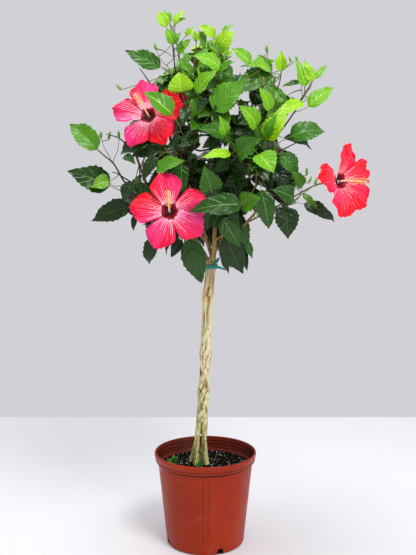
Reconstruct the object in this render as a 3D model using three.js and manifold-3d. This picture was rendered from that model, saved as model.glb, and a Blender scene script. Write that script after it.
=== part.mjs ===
// Potted hibiscus standard: four braided stems in a round grower's pot, a soft tie
// below the crown, boughs that fan out above it, leafy masses and four open blooms.
// Millimetres, +Z up. The origin is the middle of the pot's flat underside.
import * as THREE from 'three';
import { mergeVertices } from 'three/addons/utils/BufferGeometryUtils.js';
import Module from 'manifold-3d';

const wasm = await Module();
wasm.setup();

// ---------------------------------------------------------------- driving sizes

const CLEAR = 0.3; // gap between pieces that touch

const POT = {
  height: 213,
  rimRadius: 117.5,
  bodyTopRadius: 109,
  baseRadius: 90,
  baseRounding: 7,
  bandHeight: 21,
  wall: 2.6,
  floor: 3.2,
  segments: 32,
  drainHoles: 4,
  drainRadius: 7.5,
  drainTurn: 22,
  drainFrom: { inside: 16, z: 14 },
  drainTo: { outside: 6, z: -2 },
  drainSides: 8,
};

// The rim's band, its lip and the ledge inside it: steps in from the rim's radius, and
// heights below the top or above the shoulder.
const RIM = {
  bandIn: 2.5,
  bandUp: 2,
  bandTopIn: 1.5,
  bandTop: 8,
  lipFoot: 6,
  lipRound: 1,
  lipInner: 4.2,
  throatIn: 5.4,
  throatDown: 9,
  ledgeOut: 0.6,
  ledgeUp: 1.5,
  ledgeDown: 3,
};

const SOIL = {
  top: 183,
  dish: 2.5,
  crown: 0.6,
  crownShares: [0.72, 0.45],
  wallClear: 1,
  cornerExtra: 2,
  segments: 24,
};

const STEM = {
  flareRadius: 8.4,
  lowRadius: 6.0,
  highRadius: 5.3,
  tipRadius: 4.6,
  flareHeight: 26,
  sides: 6,
  ringEvery: 19,
  foot: SOIL.top + CLEAR,
  braidFrom: 240,
  braidStep: 45,
  tieHeight: 643,
  slot: 6.6,
  footSpread: 0.55,
  spreadUntil: 320,
  taperAbove: 80,
  tieGrip: 6,
};

// The middle line of the trunk leans a little to the right as it rises.
const TRUNK_LINE = [
  [-14, 0, 183],
  [-6, 0, 320],
  [0, 0, 420],
  [5, 0, 565],
  [13, 0, 643],
];

// Each stem: where its foot stands beside the trunk line, and where its fork tip is.
const STEMS = [
  { name: 'stem_1', foot: [-17, 14], corner: 3, tip: [-2, 24, 716] },
  { name: 'stem_2', foot: [-7, -13], corner: 0, tip: [-24, -16, 706] },
  { name: 'stem_3', foot: [3, 17], corner: 2, tip: [46, 16, 712] },
  { name: 'stem_4', foot: [16, -6], corner: 1, tip: [21, -18, 724] },
];

// The braid, from the bottom up: a front or back pair changes places, or all four
// strands turn a quarter.
const BRAID = ['back', 'front', 'turn', 'front', 'turn', 'front', 'back', 'turn'];
const BRAIDING = { pointsPerStep: 4, outerSwing: 1.72, innerSwing: -0.3 };

// The tie: a band round the stems, with two flat tails whose outlines are drawn from
// the knot, to the right and up.
const TIE = {
  bottom: 637,
  height: 9,
  thickness: 1.5,
  clear: 0.5,
  segments: 16,
  knot: { aside: 2, sunk: 0.5, up: 5 },
  tails: [
    [[0, 0], [7, 4], [13, 12], [18, 22], [11, 20], [4, 13]],
    [[0, -3], [16, -3], [30, -9], [33, -5], [18, 2], [0, 3]],
  ],
};

// Boughs: the limb they grow from and how far along it, the end, how far the middle
// bows out, and the radii.
const BOUGHS = [
  { name: 'bough_left_low', from: 'stem_2', at: 0.975, end: [-112, -6, 752], bow: 14, r: [3.6, 2.6] },
  { name: 'bough_left', from: 'stem_2', at: 1, end: [-150, -26, 822], bow: 12, r: [4.2, 2.7] },
  { name: 'bough_left_up', from: 'bough_left', at: 0.42, end: [-158, 24, 896], bow: 10, r: [3.0, 2.5] },
  { name: 'bough_front_left', from: 'bough_left', at: 0.16, end: [-30, -84, 834], bow: -6, r: [2.9, 2.4] },
  { name: 'bough_low_left', from: 'stem_2', at: 0.95, end: [-40, -48, 730], bow: 10, r: [2.6, 2.2] },
  { name: 'bough_back_low_left', from: 'stem_1', at: 0.965, end: [-62, 98, 768], bow: 10, r: [3.2, 2.5] },
  { name: 'bough_upper_left', from: 'stem_1', at: 1, end: [-100, 38, 1010], bow: 14, r: [4.3, 2.5] },
  { name: 'bough_back_left', from: 'bough_upper_left', at: 0.3, end: [-96, 118, 902], bow: 8, r: [3.2, 2.5] },
  { name: 'bough_top_left', from: 'bough_upper_left', at: 0.5, end: [-54, 6, 1050], bow: -8, r: [3.0, 2.4] },
  { name: 'bough_back_mid', from: 'bough_upper_left', at: 0.16, end: [10, 148, 858], bow: 8, r: [3.1, 2.5] },
  { name: 'bough_top_mid', from: 'stem_4', at: 1, end: [26, -14, 1036], bow: -6, r: [4.4, 2.5] },
  { name: 'bough_front_top', from: 'bough_top_mid', at: 0.5, end: [24, -74, 962], bow: 6, r: [3.0, 2.4] },
  { name: 'bough_front_mid', from: 'bough_top_mid', at: 0.16, end: [70, -100, 846], bow: 6, r: [3.1, 2.5] },
  { name: 'bough_front_low', from: 'bough_top_mid', at: 0.04, end: [30, -84, 758], bow: 2, r: [2.7, 2.3] },
  { name: 'bough_low_right', from: 'stem_4', at: 0.955, end: [66, -50, 738], bow: 6, r: [2.7, 2.3] },
  { name: 'bough_right_low', from: 'stem_3', at: 0.975, end: [120, -8, 774], bow: 10, r: [3.3, 2.5] },
  { name: 'bough_top_right', from: 'stem_3', at: 1, end: [106, 26, 1004], bow: 10, r: [4.3, 2.5] },
  { name: 'bough_right', from: 'bough_top_right', at: 0.22, end: [140, 18, 886], bow: 12, r: [3.2, 2.5] },
  { name: 'bough_far_right', from: 'bough_top_right', at: 0.5, end: [172, -16, 972], bow: 10, r: [2.9, 2.4] },
  { name: 'bough_back_right', from: 'bough_top_right', at: 0.34, end: [124, 118, 898], bow: 8, r: [3.0, 2.4] },
  { name: 'bough_back_low_right', from: 'stem_3', at: 0.955, end: [74, 98, 772], bow: 8, r: [2.9, 2.4] },
  { name: 'bough_back_top', from: 'bough_top_right', at: 0.6, end: [52, 98, 1000], bow: 6, r: [2.7, 2.3] },
];

const BOUGH = {
  sides: 5,
  turnOut: 0.55,
  early: 0.28,
  late: 0.66,
  sag: 0.02,
  pointEvery: 42,
  fewestPoints: 5,
  near: 40,
};

// Leafy masses: the bough each grows from, the heart of its own space, its furthest
// tip, the length of a full leaf, the number of side shoots, their reach and the seed.
const MASSES = [
  ['leaves_left_low', 'bough_left_low', [-152, -8, 772], [-250, 0, 745], 100, 4, 105, 11],
  ['leaves_left', 'bough_left', [-200, -34, 852], [-300, -24, 850], 104, 4, 105, 12],
  ['leaves_left_up', 'bough_left_up', [-198, 32, 932], [-300, 22, 955], 80, 4, 105, 13],
  ['leaves_front_left', 'bough_front_left', [-44, -122, 880], [-70, -205, 930], 100, 5, 110, 14],
  ['leaves_low_left', 'bough_low_left', [-44, -72, 700], [-24, -84, 612], 108, 3, 90, 15],
  ['leaves_front_low', 'bough_front_low', [26, -116, 782], [30, -205, 745], 102, 4, 100, 32],
  ['leaves_back_low_left', 'bough_back_low_left', [-92, 132, 780], [-176, 190, 742], 100, 4, 120, 16],
  ['leaves_upper_left', 'bough_upper_left', [-122, 42, 1050], [-174, 20, 1124], 76, 5, 100, 17],
  ['leaves_back_left', 'bough_back_left', [-122, 152, 934], [-206, 206, 985], 92, 4, 125, 18],
  ['leaves_top_left', 'bough_top_left', [-58, 0, 1104], [-74, 0, 1205], 68, 6, 95, 19],
  ['leaves_back_mid', 'bough_back_mid', [16, 190, 872], [18, 262, 850], 98, 4, 125, 20],
  ['leaves_top_mid', 'bough_top_mid', [30, -14, 1086], [42, -24, 1170], 70, 6, 100, 21],
  ['leaves_front_top', 'bough_front_top', [24, -112, 1000], [40, -186, 1040], 90, 6, 110, 22],
  ['leaves_front_mid', 'bough_front_mid', [86, -136, 882], [104, -222, 880], 102, 5, 110, 23],
  ['leaves_low_right', 'bough_low_right', [76, -66, 716], [78, -84, 642], 106, 3, 90, 24],
  ['leaves_right_low', 'bough_right_low', [160, -16, 796], [204, -20, 716], 100, 5, 105, 25],
  ['leaves_top_right', 'bough_top_right', [118, 34, 1058], [176, 20, 1120], 78, 6, 105, 26],
  ['leaves_right', 'bough_right', [178, 24, 906], [268, 20, 952], 96, 4, 105, 27],
  ['leaves_far_right', 'bough_far_right', [204, -26, 1004], [256, -20, 1080], 80, 6, 100, 28],
  ['leaves_back_right', 'bough_back_right', [150, 152, 930], [224, 200, 976], 94, 4, 125, 29],
  ['leaves_back_low_right', 'bough_back_low_right', [104, 134, 784], [176, 190, 742], 100, 4, 120, 30],
  ['leaves_back_top', 'bough_back_top', [44, 130, 1040], [44, 176, 1116], 82, 5, 115, 31],
].map(([name, bough, heart, tip, leaf, shoots, reach, seed]) => (
  { name, bough, heart, tip, leaf, shoots, reach, seed }
));

const SHOOT = {
  sides: 3,
  stemRadius: 2.6,
  sideRadius: 2.0,
  tipRadius: 1.2,
  leafEvery: 0.37,
  firstLeaf: 16,
  tipLeaf: 0.62,
  golden: 137.5,
  sink: 0.6,
  spineSteps: 3,
  tipLeafTries: [1, 0.8],
  leafFoot: 26,
  apart: 16,
  shortest: 20,
  checks: [0.2, 0.4, 0.6, 0.8, 1],
  alongSpine: [0.2, 0.85],
  opening: [46, 78],
  spinPlay: 0.7,
  outward: 0.35,
  leastReach: 0.62,
  leafTrim: 0.3,
  tries: [1, 0.85, 0.7, 0.55, 0.42],
  inBough: 1,
  bow: 4,
  spineFirstLeaf: 22,
  sideSize: 0.95,
  lastLeaf: 0.95,
};

const LEAF = {
  widthShare: 0.62,
  widestAt: 0.56,
  thickShare: 0.02,
  fold: 0.16,
  faceUp: 0.35,
  faceOut: 0.8,
  faceLight: 0.35,
  droop: [0.55, 0.1],
  shrink: [1, 1, 1, 0.85, 0.85, 0.7, 0.7],
  limbClear: 5,
  boughClear: 2,
  shootClear: 2.5,
  cellClear: 0.6,
  opening: [68, 42],
  tryTurn: 0.7,
  jitter: 0.5,
  size: [0.86, 1.06],
  youngFrom: 0.72,
  youngSize: 0.8,
  flatOut: 0.4,
  tested: 9,
  crossReach: 130,
};

// Blooms: the bough and how far along it the stalk leaves, the throat, the way it
// faces, the turn of its petals, and its size.
const BLOOMS = [
  ['bloom_front', 'bough_left', 0.3, [-72, -178, 770], [-0.02, -0.97, 0.12], 90, 80],
  ['bloom_upper_left', 'bough_left_up', 0.8, [-118, -118, 968], [-0.18, -0.93, 0.3], 70, 76],
  ['bloom_right', 'bough_right_low', 0.55, [288, -96, 832], [0.66, -0.74, 0.1], 100, 78],
  ['bloom_back', 'bough_upper_left', 0.72, [-96, 208, 1026], [-0.3, 0.88, 0.36], 20, 74],
].map(([name, from, at, throat, face, turn, radius]) => (
  { name, from, at, throat, face, turn, radius }
));

// Half the petal's width at even steps from the throat to its rim, as shares of its
// length, and how far its corners are rounded back.
const PETAL = {
  count: 5,
  halfWidths: [0.06, 0.27, 0.44, 0.3],
  rounding: 0.12,
  thickness: 1.5,
  across: 2,
  innerRadius: 3,
  lean: 13,
  ruffle: 4.5,
  bowl: 17,
  bowlWave: 0.62,
  bowlBase: 0.55,
  recurve: 9,
  ruffleWaves: 1.5,
  rufflePhase: 0.6,
  unevenness: 0.04,
  unevenTurn: 2.4,
};

const BLOOM = {
  tubeLength: 26,
  calyxRadius: 7.5,
  calyxLength: 24,
  stalkRadius: 2.0,
  columnLength: 62,
  columnRadius: 2.1,
  headRadius: 7.5,
  headLength: 22,
  headTaper: 4,
  headFoot: 0.7,
  tipRadius: 3,
  sway: [0, 2, 2.5, 4, 4.5],
  swayAcross: 0.4,
  columnSides: 5,
  neckLength: 17,
  neckRadius: 3.2,
  throatRadius: 6,
  throatUp: 2,
  cupSides: 6,
  stalkLead: 34,
  stalkInto: 4,
  stalkBack: 16,
  stalkSteps: 6,
  stalkSides: 3,
};

// The air that a bloom keeps free: its dish, its column and its tube.
const BLOOM_SPACE = {
  behind: 24,
  before: 34,
  columnHigh: 74,
  columnWide: 22,
  tubeLong: 60,
  tubeWide: 14,
};

const CROWN_MIDDLE = new THREE.Vector3(15, 10, 880);

// The side that the leaves turn their faces to.
const LIGHT = new THREE.Vector3(-0.1, -0.95, 0.3);

// ---------------------------------------------------------------- small helpers

const UP = new THREE.Vector3(0, 0, 1);
const vec = ([x, y, z]) => new THREE.Vector3(x, y, z);
const rad = THREE.MathUtils.degToRad;
const lerp = THREE.MathUtils.lerp;

// Seeded random numbers, the same on every run.
function seeded(seed) {
  let state = seed >>> 0;
  return () => {
    state = (state + 0x6d2b79f5) >>> 0;
    let t = state;
    t = Math.imul(t ^ (t >>> 15), t | 1);
    t ^= t + Math.imul(t ^ (t >>> 7), t | 61);
    return ((t ^ (t >>> 14)) >>> 0) / 4294967296;
  };
}

function geometryFrom(points, faces) {
  const geometry = new THREE.BufferGeometry();
  const flat = points.flatMap((p) => [p.x, p.y, p.z]);
  geometry.setAttribute('position', new THREE.Float32BufferAttribute(flat, 3));
  geometry.setIndex(faces.flat());
  return geometry;
}

function toSolid(geometry) {
  const bare = geometry.clone();
  bare.deleteAttribute('normal');
  bare.deleteAttribute('uv');
  const merged = mergeVertices(bare, 1e-4);
  const vertProperties = new Float32Array(merged.attributes.position.array);
  const triVerts = new Uint32Array(merged.index.array);
  return new wasm.Manifold(new wasm.Mesh({ numProp: 3, vertProperties, triVerts }));
}

function toGeometry(solid) {
  const mesh = solid.getMesh();
  const geometry = new THREE.BufferGeometry();
  geometry.setAttribute('position', new THREE.BufferAttribute(mesh.vertProperties, 3));
  geometry.setIndex(new THREE.BufferAttribute(mesh.triVerts, 1));
  geometry.computeVertexNormals();
  return geometry;
}

// Joins solids two by two, which keeps each join small.
function joined(solids) {
  let row = solids;
  while (row.length > 1) {
    const next = [];
    for (let i = 0; i < row.length; i += 2) {
      next.push(i + 1 < row.length ? row[i].add(row[i + 1]) : row[i]);
    }
    row = next;
  }
  return row[0];
}

// The one largest body: sealed hollows are filled and loose scraps dropped.
function oneBody(solid, tolerance = 0.15) {
  const parts = solid.simplify(tolerance).decompose();
  parts.sort((a, b) => b.volume() - a.volume());
  return parts[0];
}

// A closed tapering tube along points, with one radius at each point and flat ends.
function tube(points, radii, sides, turn = 0) {
  const tangents = points.map((p, i) => {
    const before = points[Math.max(i - 1, 0)];
    const after = points[Math.min(i + 1, points.length - 1)];
    return after.clone().sub(before).normalize();
  });
  const across = new THREE.Vector3(1, 0.21, 0.13).cross(tangents[0]).normalize();
  const rings = [];
  points.forEach((p, i) => {
    across.addScaledVector(tangents[i], -across.dot(tangents[i])).normalize();
    const other = tangents[i].clone().cross(across);
    for (let k = 0; k < sides; k += 1) {
      const angle = turn + (2 * Math.PI * k) / sides;
      rings.push(p.clone()
        .addScaledVector(across, radii[i] * Math.cos(angle))
        .addScaledVector(other, radii[i] * Math.sin(angle)));
    }
  });
  const faces = [];
  for (let i = 0; i + 1 < points.length; i += 1) {
    for (let k = 0; k < sides; k += 1) {
      const a = i * sides + k;
      const b = i * sides + ((k + 1) % sides);
      faces.push([a, b, b + sides], [a, b + sides, a + sides]);
    }
  }
  const last = (points.length - 1) * sides;
  for (let k = 1; k + 1 < sides; k += 1) {
    faces.push([0, k + 1, k], [last, last + k, last + k + 1]);
  }
  return geometryFrom(rings, faces);
}

// ---------------------------------------------------------------- limbs

// Every limb keeps its line and radii, so that leaves can be kept clear of it.
const limbs = new Map();

function addLimb(name, points, radii, sides) {
  limbs.set(name, { name, points, radii, sides });
}

// A limb's solid, or the space that keeps its neighbours clear of it when it is grown.
function limbSolid(limb, grow = 0) {
  const radii = limb.radii.map((r) => r + grow / Math.cos(Math.PI / limb.sides));
  const points = limb.points.map((p) => p.clone());
  const last = points.length - 1;
  const way = points[last].clone().sub(points[last - 1]).normalize();
  points[last].addScaledVector(way, grow);
  return toSolid(tube(points, radii, limb.sides));
}

function along(limb, share) {
  const place = share * (limb.points.length - 1);
  const i = Math.min(Math.floor(place), limb.points.length - 2);
  const point = limb.points[i].clone().lerp(limb.points[i + 1], place - i);
  const way = limb.points[i + 1].clone().sub(limb.points[i]).normalize();
  const radius = lerp(limb.radii[i], limb.radii[i + 1], place - i);
  return { point, way, radius };
}

function distanceToLimb(point, limb) {
  let best = Infinity;
  const step = new THREE.Vector3();
  const toPoint = new THREE.Vector3();
  for (let i = 0; i + 1 < limb.points.length; i += 1) {
    step.subVectors(limb.points[i + 1], limb.points[i]);
    toPoint.subVectors(point, limb.points[i]);
    const share = THREE.MathUtils.clamp(toPoint.dot(step) / step.lengthSq(), 0, 1);
    toPoint.addScaledVector(step, -share);
    const reach = lerp(limb.radii[i], limb.radii[i + 1], share);
    best = Math.min(best, toPoint.length() - reach);
  }
  return best;
}

// ---------------------------------------------------------------- pot and soil

function potProfile() {
  const { height, rimRadius, bodyTopRadius, baseRadius, baseRounding, bandHeight, wall, floor } = POT;
  const shoulder = height - bandHeight;
  const roundingSteps = 2;
  const points = [[0, 0]];
  for (let k = 0; k <= roundingSteps; k += 1) {
    const angle = (Math.PI / 2) * (k / roundingSteps);
    const out = baseRounding * Math.sin(angle);
    points.push([baseRadius - baseRounding + out, baseRounding * (1 - Math.cos(angle))]);
  }
  points.push([bodyTopRadius, shoulder]);
  points.push([rimRadius - RIM.bandIn, shoulder + RIM.bandUp]);
  points.push([rimRadius - RIM.bandTopIn, height - RIM.bandTop]);
  points.push([rimRadius, height - RIM.lipFoot]);
  points.push([rimRadius - RIM.lipRound, height]);
  points.push([rimRadius - RIM.lipInner, height]);
  points.push([rimRadius - RIM.throatIn, height - RIM.throatDown]);
  points.push([bodyTopRadius + RIM.ledgeOut, shoulder + RIM.ledgeUp]);
  points.push([bodyTopRadius - wall - RIM.ledgeOut, shoulder - RIM.ledgeDown]);
  points.push([baseRadius - wall, floor + baseRounding]);
  points.push([baseRadius - wall - baseRounding, floor]);
  points.push([0, floor]);
  return points;
}

function lathe(profile, segments) {
  const outline = profile.map(([x, y]) => new THREE.Vector2(x, y));
  return new THREE.LatheGeometry(outline, segments).rotateX(Math.PI / 2);
}

function makePot() {
  let pot = toSolid(lathe(potProfile(), POT.segments));
  for (let k = 0; k < POT.drainHoles; k += 1) {
    const angle = rad(POT.drainTurn - 90 + (360 * k) / POT.drainHoles);
    const out = new THREE.Vector3(Math.cos(angle), Math.sin(angle), 0);
    const from = out.clone().multiplyScalar(POT.baseRadius - POT.drainFrom.inside).setZ(POT.drainFrom.z);
    const to = out.clone().multiplyScalar(POT.baseRadius + POT.drainTo.outside).setZ(POT.drainTo.z);
    const radii = [POT.drainRadius, POT.drainRadius];
    const hole = tube([from, to], radii, POT.drainSides, Math.PI / POT.drainSides);
    pot = pot.subtract(toSolid(hole));
  }
  return toGeometry(oneBody(pot));
}

// The inner face of the pot's wall at a height, from its profile.
function potInside(z) {
  const low = { z: POT.floor + POT.baseRounding, r: POT.baseRadius - POT.wall };
  const high = {
    z: POT.height - POT.bandHeight - RIM.ledgeDown,
    r: POT.bodyTopRadius - POT.wall - RIM.ledgeOut,
  };
  return lerp(low.r, high.r, (z - low.z) / (high.z - low.z));
}

function makeSoil() {
  const clear = SOIL.wallClear;
  const bottom = POT.floor + CLEAR;
  const corner = POT.baseRounding + SOIL.cornerExtra;
  const [outer, inner] = SOIL.crownShares;
  const profile = [
    [0, bottom],
    [potInside(bottom) - corner - clear, bottom],
    [potInside(bottom + corner) - clear, bottom + corner],
    [potInside(SOIL.top - SOIL.dish) - clear, SOIL.top - SOIL.dish],
    [potInside(SOIL.top) * outer, SOIL.top - SOIL.crown],
    [potInside(SOIL.top) * inner, SOIL.top],
    [0, SOIL.top],
  ];
  return toGeometry(oneBody(toSolid(lathe(profile, SOIL.segments))));
}

// ---------------------------------------------------------------- braided stems

function trunkMiddle(z) {
  const k = TRUNK_LINE.findIndex((p) => p[2] >= z);
  const i = Math.max(k < 0 ? TRUNK_LINE.length - 1 : k, 1);
  const [a, b] = [TRUNK_LINE[i - 1], TRUNK_LINE[i]];
  const share = THREE.MathUtils.clamp((z - a[2]) / (b[2] - a[2]), 0, 1);
  return new THREE.Vector3(lerp(a[0], b[0], share), lerp(a[1], b[1], share), z);
}

function stemRadius(z) {
  const flare = Math.max(0, 1 - (z - STEM.foot) / STEM.flareHeight);
  const share = (z - STEM.foot) / (STEM.tieHeight - STEM.foot);
  const above = Math.max(0, z - STEM.tieHeight) / STEM.taperAbove;
  const plain = lerp(STEM.lowRadius, STEM.highRadius, Math.min(share, 1));
  return lerp(plain, STEM.tipRadius, above) + (STEM.flareRadius - STEM.lowRadius) * flare * flare;
}

// Corners of the four-strand braid, from front left round to back left.
const CORNERS = [
  [-1, -1],
  [1, -1],
  [1, 1],
  [-1, 1],
];

// Where each strand is at a share of one braid step, in slots from the middle.
function braidPlaces(step, order, share) {
  const places = [];
  const swing = Math.PI * share;
  order.forEach((strand, corner) => {
    const [x, y] = CORNERS[corner];
    if (step === 'turn') {
      const angle = Math.atan2(y, x) + (Math.PI / 2) * (0.5 - 0.5 * Math.cos(swing));
      places[strand] = [Math.SQRT2 * Math.cos(angle), Math.SQRT2 * Math.sin(angle)];
      return;
    }
    const moving = step === 'front' ? y < 0 : y > 0;
    if (!moving) {
      places[strand] = [x, y];
      return;
    }
    const bulge = x < 0 ? BRAIDING.outerSwing : BRAIDING.innerSwing;
    places[strand] = [x * Math.cos(swing), y * (1 + bulge * Math.sin(swing))];
  });
  return places;
}

function braidOrderAfter(step, order) {
  const [a, b, c, d] = order;
  if (step === 'turn') return [d, a, b, c];
  return step === 'front' ? [b, a, c, d] : [a, b, d, c];
}

function stemLines() {
  const lines = STEMS.map((s) => [new THREE.Vector3(s.foot[0], s.foot[1], 0).add(vec(TRUNK_LINE[0]))]);
  lines.forEach((line) => {
    line[0].z = STEM.foot;
  });
  let order = [];
  STEMS.forEach((s, strand) => {
    order[s.corner] = strand;
  });
  let z = STEM.braidFrom;
  BRAID.forEach((step) => {
    for (let k = 0; k < BRAIDING.pointsPerStep; k += 1) {
      const places = braidPlaces(step, order, k / BRAIDING.pointsPerStep);
      const height = z + (STEM.braidStep * k) / BRAIDING.pointsPerStep;
      const loose = Math.max(0, (STEM.spreadUntil - height) / (STEM.spreadUntil - STEM.foot));
      const slot = STEM.slot * (stemRadius(height) / STEM.lowRadius) * (1 + STEM.footSpread * loose);
      places.forEach(([x, y], strand) => {
        lines[strand].push(trunkMiddle(height).add(new THREE.Vector3(x * slot, y * slot, 0)));
      });
    }
    order = braidOrderAfter(step, order);
    z += STEM.braidStep;
  });
  [z, STEM.tieHeight - STEM.tieGrip, STEM.tieHeight + STEM.tieGrip].forEach((height) => {
    const slot = STEM.slot * (stemRadius(height) / STEM.lowRadius);
    order.forEach((strand, corner) => {
      const [x, y] = CORNERS[corner];
      lines[strand].push(trunkMiddle(height).add(new THREE.Vector3(x * slot, y * slot, 0)));
    });
  });
  STEMS.forEach((s, strand) => lines[strand].push(vec(s.tip)));
  return lines;
}

function makeStems() {
  const lines = stemLines();
  STEMS.forEach((s, strand) => {
    const curve = new THREE.CatmullRomCurve3(lines[strand], false, 'centripetal');
    const count = Math.round(curve.getLength() / STEM.ringEvery);
    const points = curve.getSpacedPoints(count);
    points[0].z = STEM.foot;
    const radii = points.map((p) => stemRadius(p.z));
    addLimb(s.name, points, radii, STEM.sides);
  });
}

function flatFoot(solid) {
  const deep = 100;
  const block = new THREE.BoxGeometry(2 * deep, 2 * deep, deep).translate(0, 0, STEM.foot - deep / 2);
  return solid.subtract(toSolid(block));
}

// ---------------------------------------------------------------- tie

function makeTie() {
  const middle = trunkMiddle(STEM.tieHeight);
  const envelope = STEM.slot * Math.SQRT2 * (stemRadius(STEM.tieHeight) / STEM.lowRadius);
  const inner = (envelope + stemRadius(STEM.tieHeight) + TIE.clear) / Math.cos(Math.PI / TIE.segments);
  const outer = inner + TIE.thickness;
  const ring = lathe([
    [inner, 0],
    [outer, 0],
    [outer, TIE.height],
    [inner, TIE.height],
    [inner, 0],
  ], TIE.segments);
  ring.translate(middle.x, middle.y, TIE.bottom);
  const { aside, sunk, up } = TIE.knot;
  const front = new THREE.Vector3(middle.x + aside, middle.y - outer + sunk, TIE.bottom + up);
  const strips = TIE.tails.map((outline) => {
    const shape = new THREE.Shape(outline.map(([x, y]) => new THREE.Vector2(x, y)));
    const strip = new THREE.ExtrudeGeometry(shape, { depth: TIE.thickness, bevelEnabled: false });
    strip.rotateX(Math.PI / 2);
    strip.translate(front.x, front.y, front.z);
    return toSolid(strip);
  });
  return toGeometry(oneBody(joined([toSolid(ring), ...strips])));
}

// ---------------------------------------------------------------- boughs

function makeBough(row) {
  const parent = limbs.get(row.from);
  const root = along(parent, row.at);
  const end = vec(row.end);
  const start = root.point.clone();
  if (row.at === 1) start.addScaledVector(root.way, CLEAR);
  const span = start.distanceTo(end);
  const away = end.clone().sub(start).setZ(0).normalize();
  const first = row.at === 1 ? root.way.clone() : root.way.clone().lerp(away, BOUGH.turnOut).normalize();
  const early = start.clone().addScaledVector(first, span * BOUGH.early);
  const late = start.clone().lerp(end, BOUGH.late).addScaledVector(away, row.bow);
  late.z -= span * BOUGH.sag;
  const curve = new THREE.CubicBezierCurve3(start, early, late, end);
  const points = curve.getSpacedPoints(Math.max(BOUGH.fewestPoints, Math.round(span / BOUGH.pointEvery)));
  const radii = points.map((p, i) => lerp(row.r[0], row.r[1], i / (points.length - 1)));
  addLimb(row.name, points, radii, BOUGH.sides);
}

// A limb's solid, cut clear of its parent and of every limb made before it.
function cutClear(limb, others) {
  let solid = limbSolid(limb);
  others.forEach((other) => {
    const near = limb.points.some((p) => distanceToLimb(p, other) < BOUGH.near);
    if (near) solid = solid.subtract(limbSolid(other, CLEAR));
  });
  return oneBody(solid);
}

// ---------------------------------------------------------------- leafy masses

const hearts = MASSES.map((row) => vec(row.heart));

// A point keeps to a mass's own space if it is nearer its heart than any other.
function inOwnSpace(point, index) {
  const own = hearts[index];
  const mine = point.distanceToSquared(own);
  return hearts.every((heart, k) => {
    if (k === index) return true;
    const slack = (point.distanceToSquared(heart) - mine) / (2 * heart.distanceTo(own));
    return slack > LEAF.cellClear;
  });
}

// The space of each bloom: a shallow dish round its petals, with its column.
function inBloomSpace(point, clear) {
  return BLOOMS.some((row) => {
    const face = vec(row.face).normalize();
    const offset = point.clone().sub(vec(row.throat));
    const high = offset.dot(face);
    const out = offset.addScaledVector(face, -high).length();
    const within = (low, top, wide) => high > low - clear && high < top + clear && out < wide + clear;
    const dish = within(-BLOOM_SPACE.behind, BLOOM_SPACE.before, row.radius);
    const column = high > 0 && within(0, BLOOM_SPACE.columnHigh, BLOOM_SPACE.columnWide);
    const neck = high <= 0 && within(-BLOOM_SPACE.tubeLong, 0, BLOOM_SPACE.tubeWide);
    return dish || column || neck;
  });
}

// A leaf folds along its midrib, with a keel below that gives it its thickness.
function leafPoints(base, way, face, length) {
  const side = face.clone().cross(way).normalize();
  const half = (length * LEAF.widthShare) / 2;
  const middle = base.clone().addScaledVector(way, length * LEAF.widestAt);
  const rise = half * LEAF.fold;
  return {
    root: base.clone().addScaledVector(way, -SHOOT.sink),
    tip: base.clone().addScaledVector(way, length),
    left: middle.clone().addScaledVector(side, half).addScaledVector(face, rise),
    right: middle.clone().addScaledVector(side, -half).addScaledVector(face, rise),
    middle,
    keel: middle.clone().addScaledVector(face, -length * LEAF.thickShare),
  };
}

function leafSolid({ root, right, tip, left, keel }) {
  const faces = [[0, 1, 2], [0, 2, 3], [1, 0, 4], [2, 1, 4], [3, 2, 4], [0, 3, 4]];
  return toSolid(geometryFrom([root, right, tip, left, keel], faces));
}

// Points spread over a leaf, close enough together that no limb slips between them.
function leafSamples(leaf) {
  const samples = [leaf.tip, leaf.left, leaf.right, leaf.keel];
  for (let i = 1; i <= LEAF.tested; i += 1) {
    const share = i / (LEAF.tested + 1);
    const wide = share < LEAF.widestAt ? share / LEAF.widestAt : (1 - share) / (1 - LEAF.widestAt);
    const spine = leaf.root.clone().lerp(leaf.tip, share);
    [leaf.left, leaf.right].forEach((edge) => {
      const sideways = edge.clone().sub(leaf.middle).multiplyScalar(wide);
      [0, 0.5, 1].forEach((part) => samples.push(spine.clone().addScaledVector(sideways, part)));
    });
  }
  return samples;
}

// Whether an edge from a to b passes through the triangle p, q, r.
const ray = new THREE.Ray();
const hit = new THREE.Vector3();
function edgeThrough(a, b, p, q, r) {
  ray.origin.copy(a);
  ray.direction.subVectors(b, a);
  const length = ray.direction.length();
  ray.direction.divideScalar(length);
  const found = ray.intersectTriangle(p, q, r, false, hit);
  return found !== null && hit.distanceTo(a) < length;
}

function leavesCross(one, two) {
  if (one.middle.distanceTo(two.middle) > LEAF.crossReach) return false;
  const test = (a, b) => {
    const rim = [a.root, a.left, a.tip, a.right];
    const edges = rim.map((p, i) => [p, rim[(i + 1) % rim.length]]);
    edges.push([a.root, a.tip]);
    const wings = [[b.root, b.left, b.tip], [b.root, b.tip, b.right]];
    return edges.some(([p, q]) => wings.some(([r, s, t]) => edgeThrough(p, q, r, s, t)));
  };
  return test(one, two) || test(two, one);
}

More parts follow.
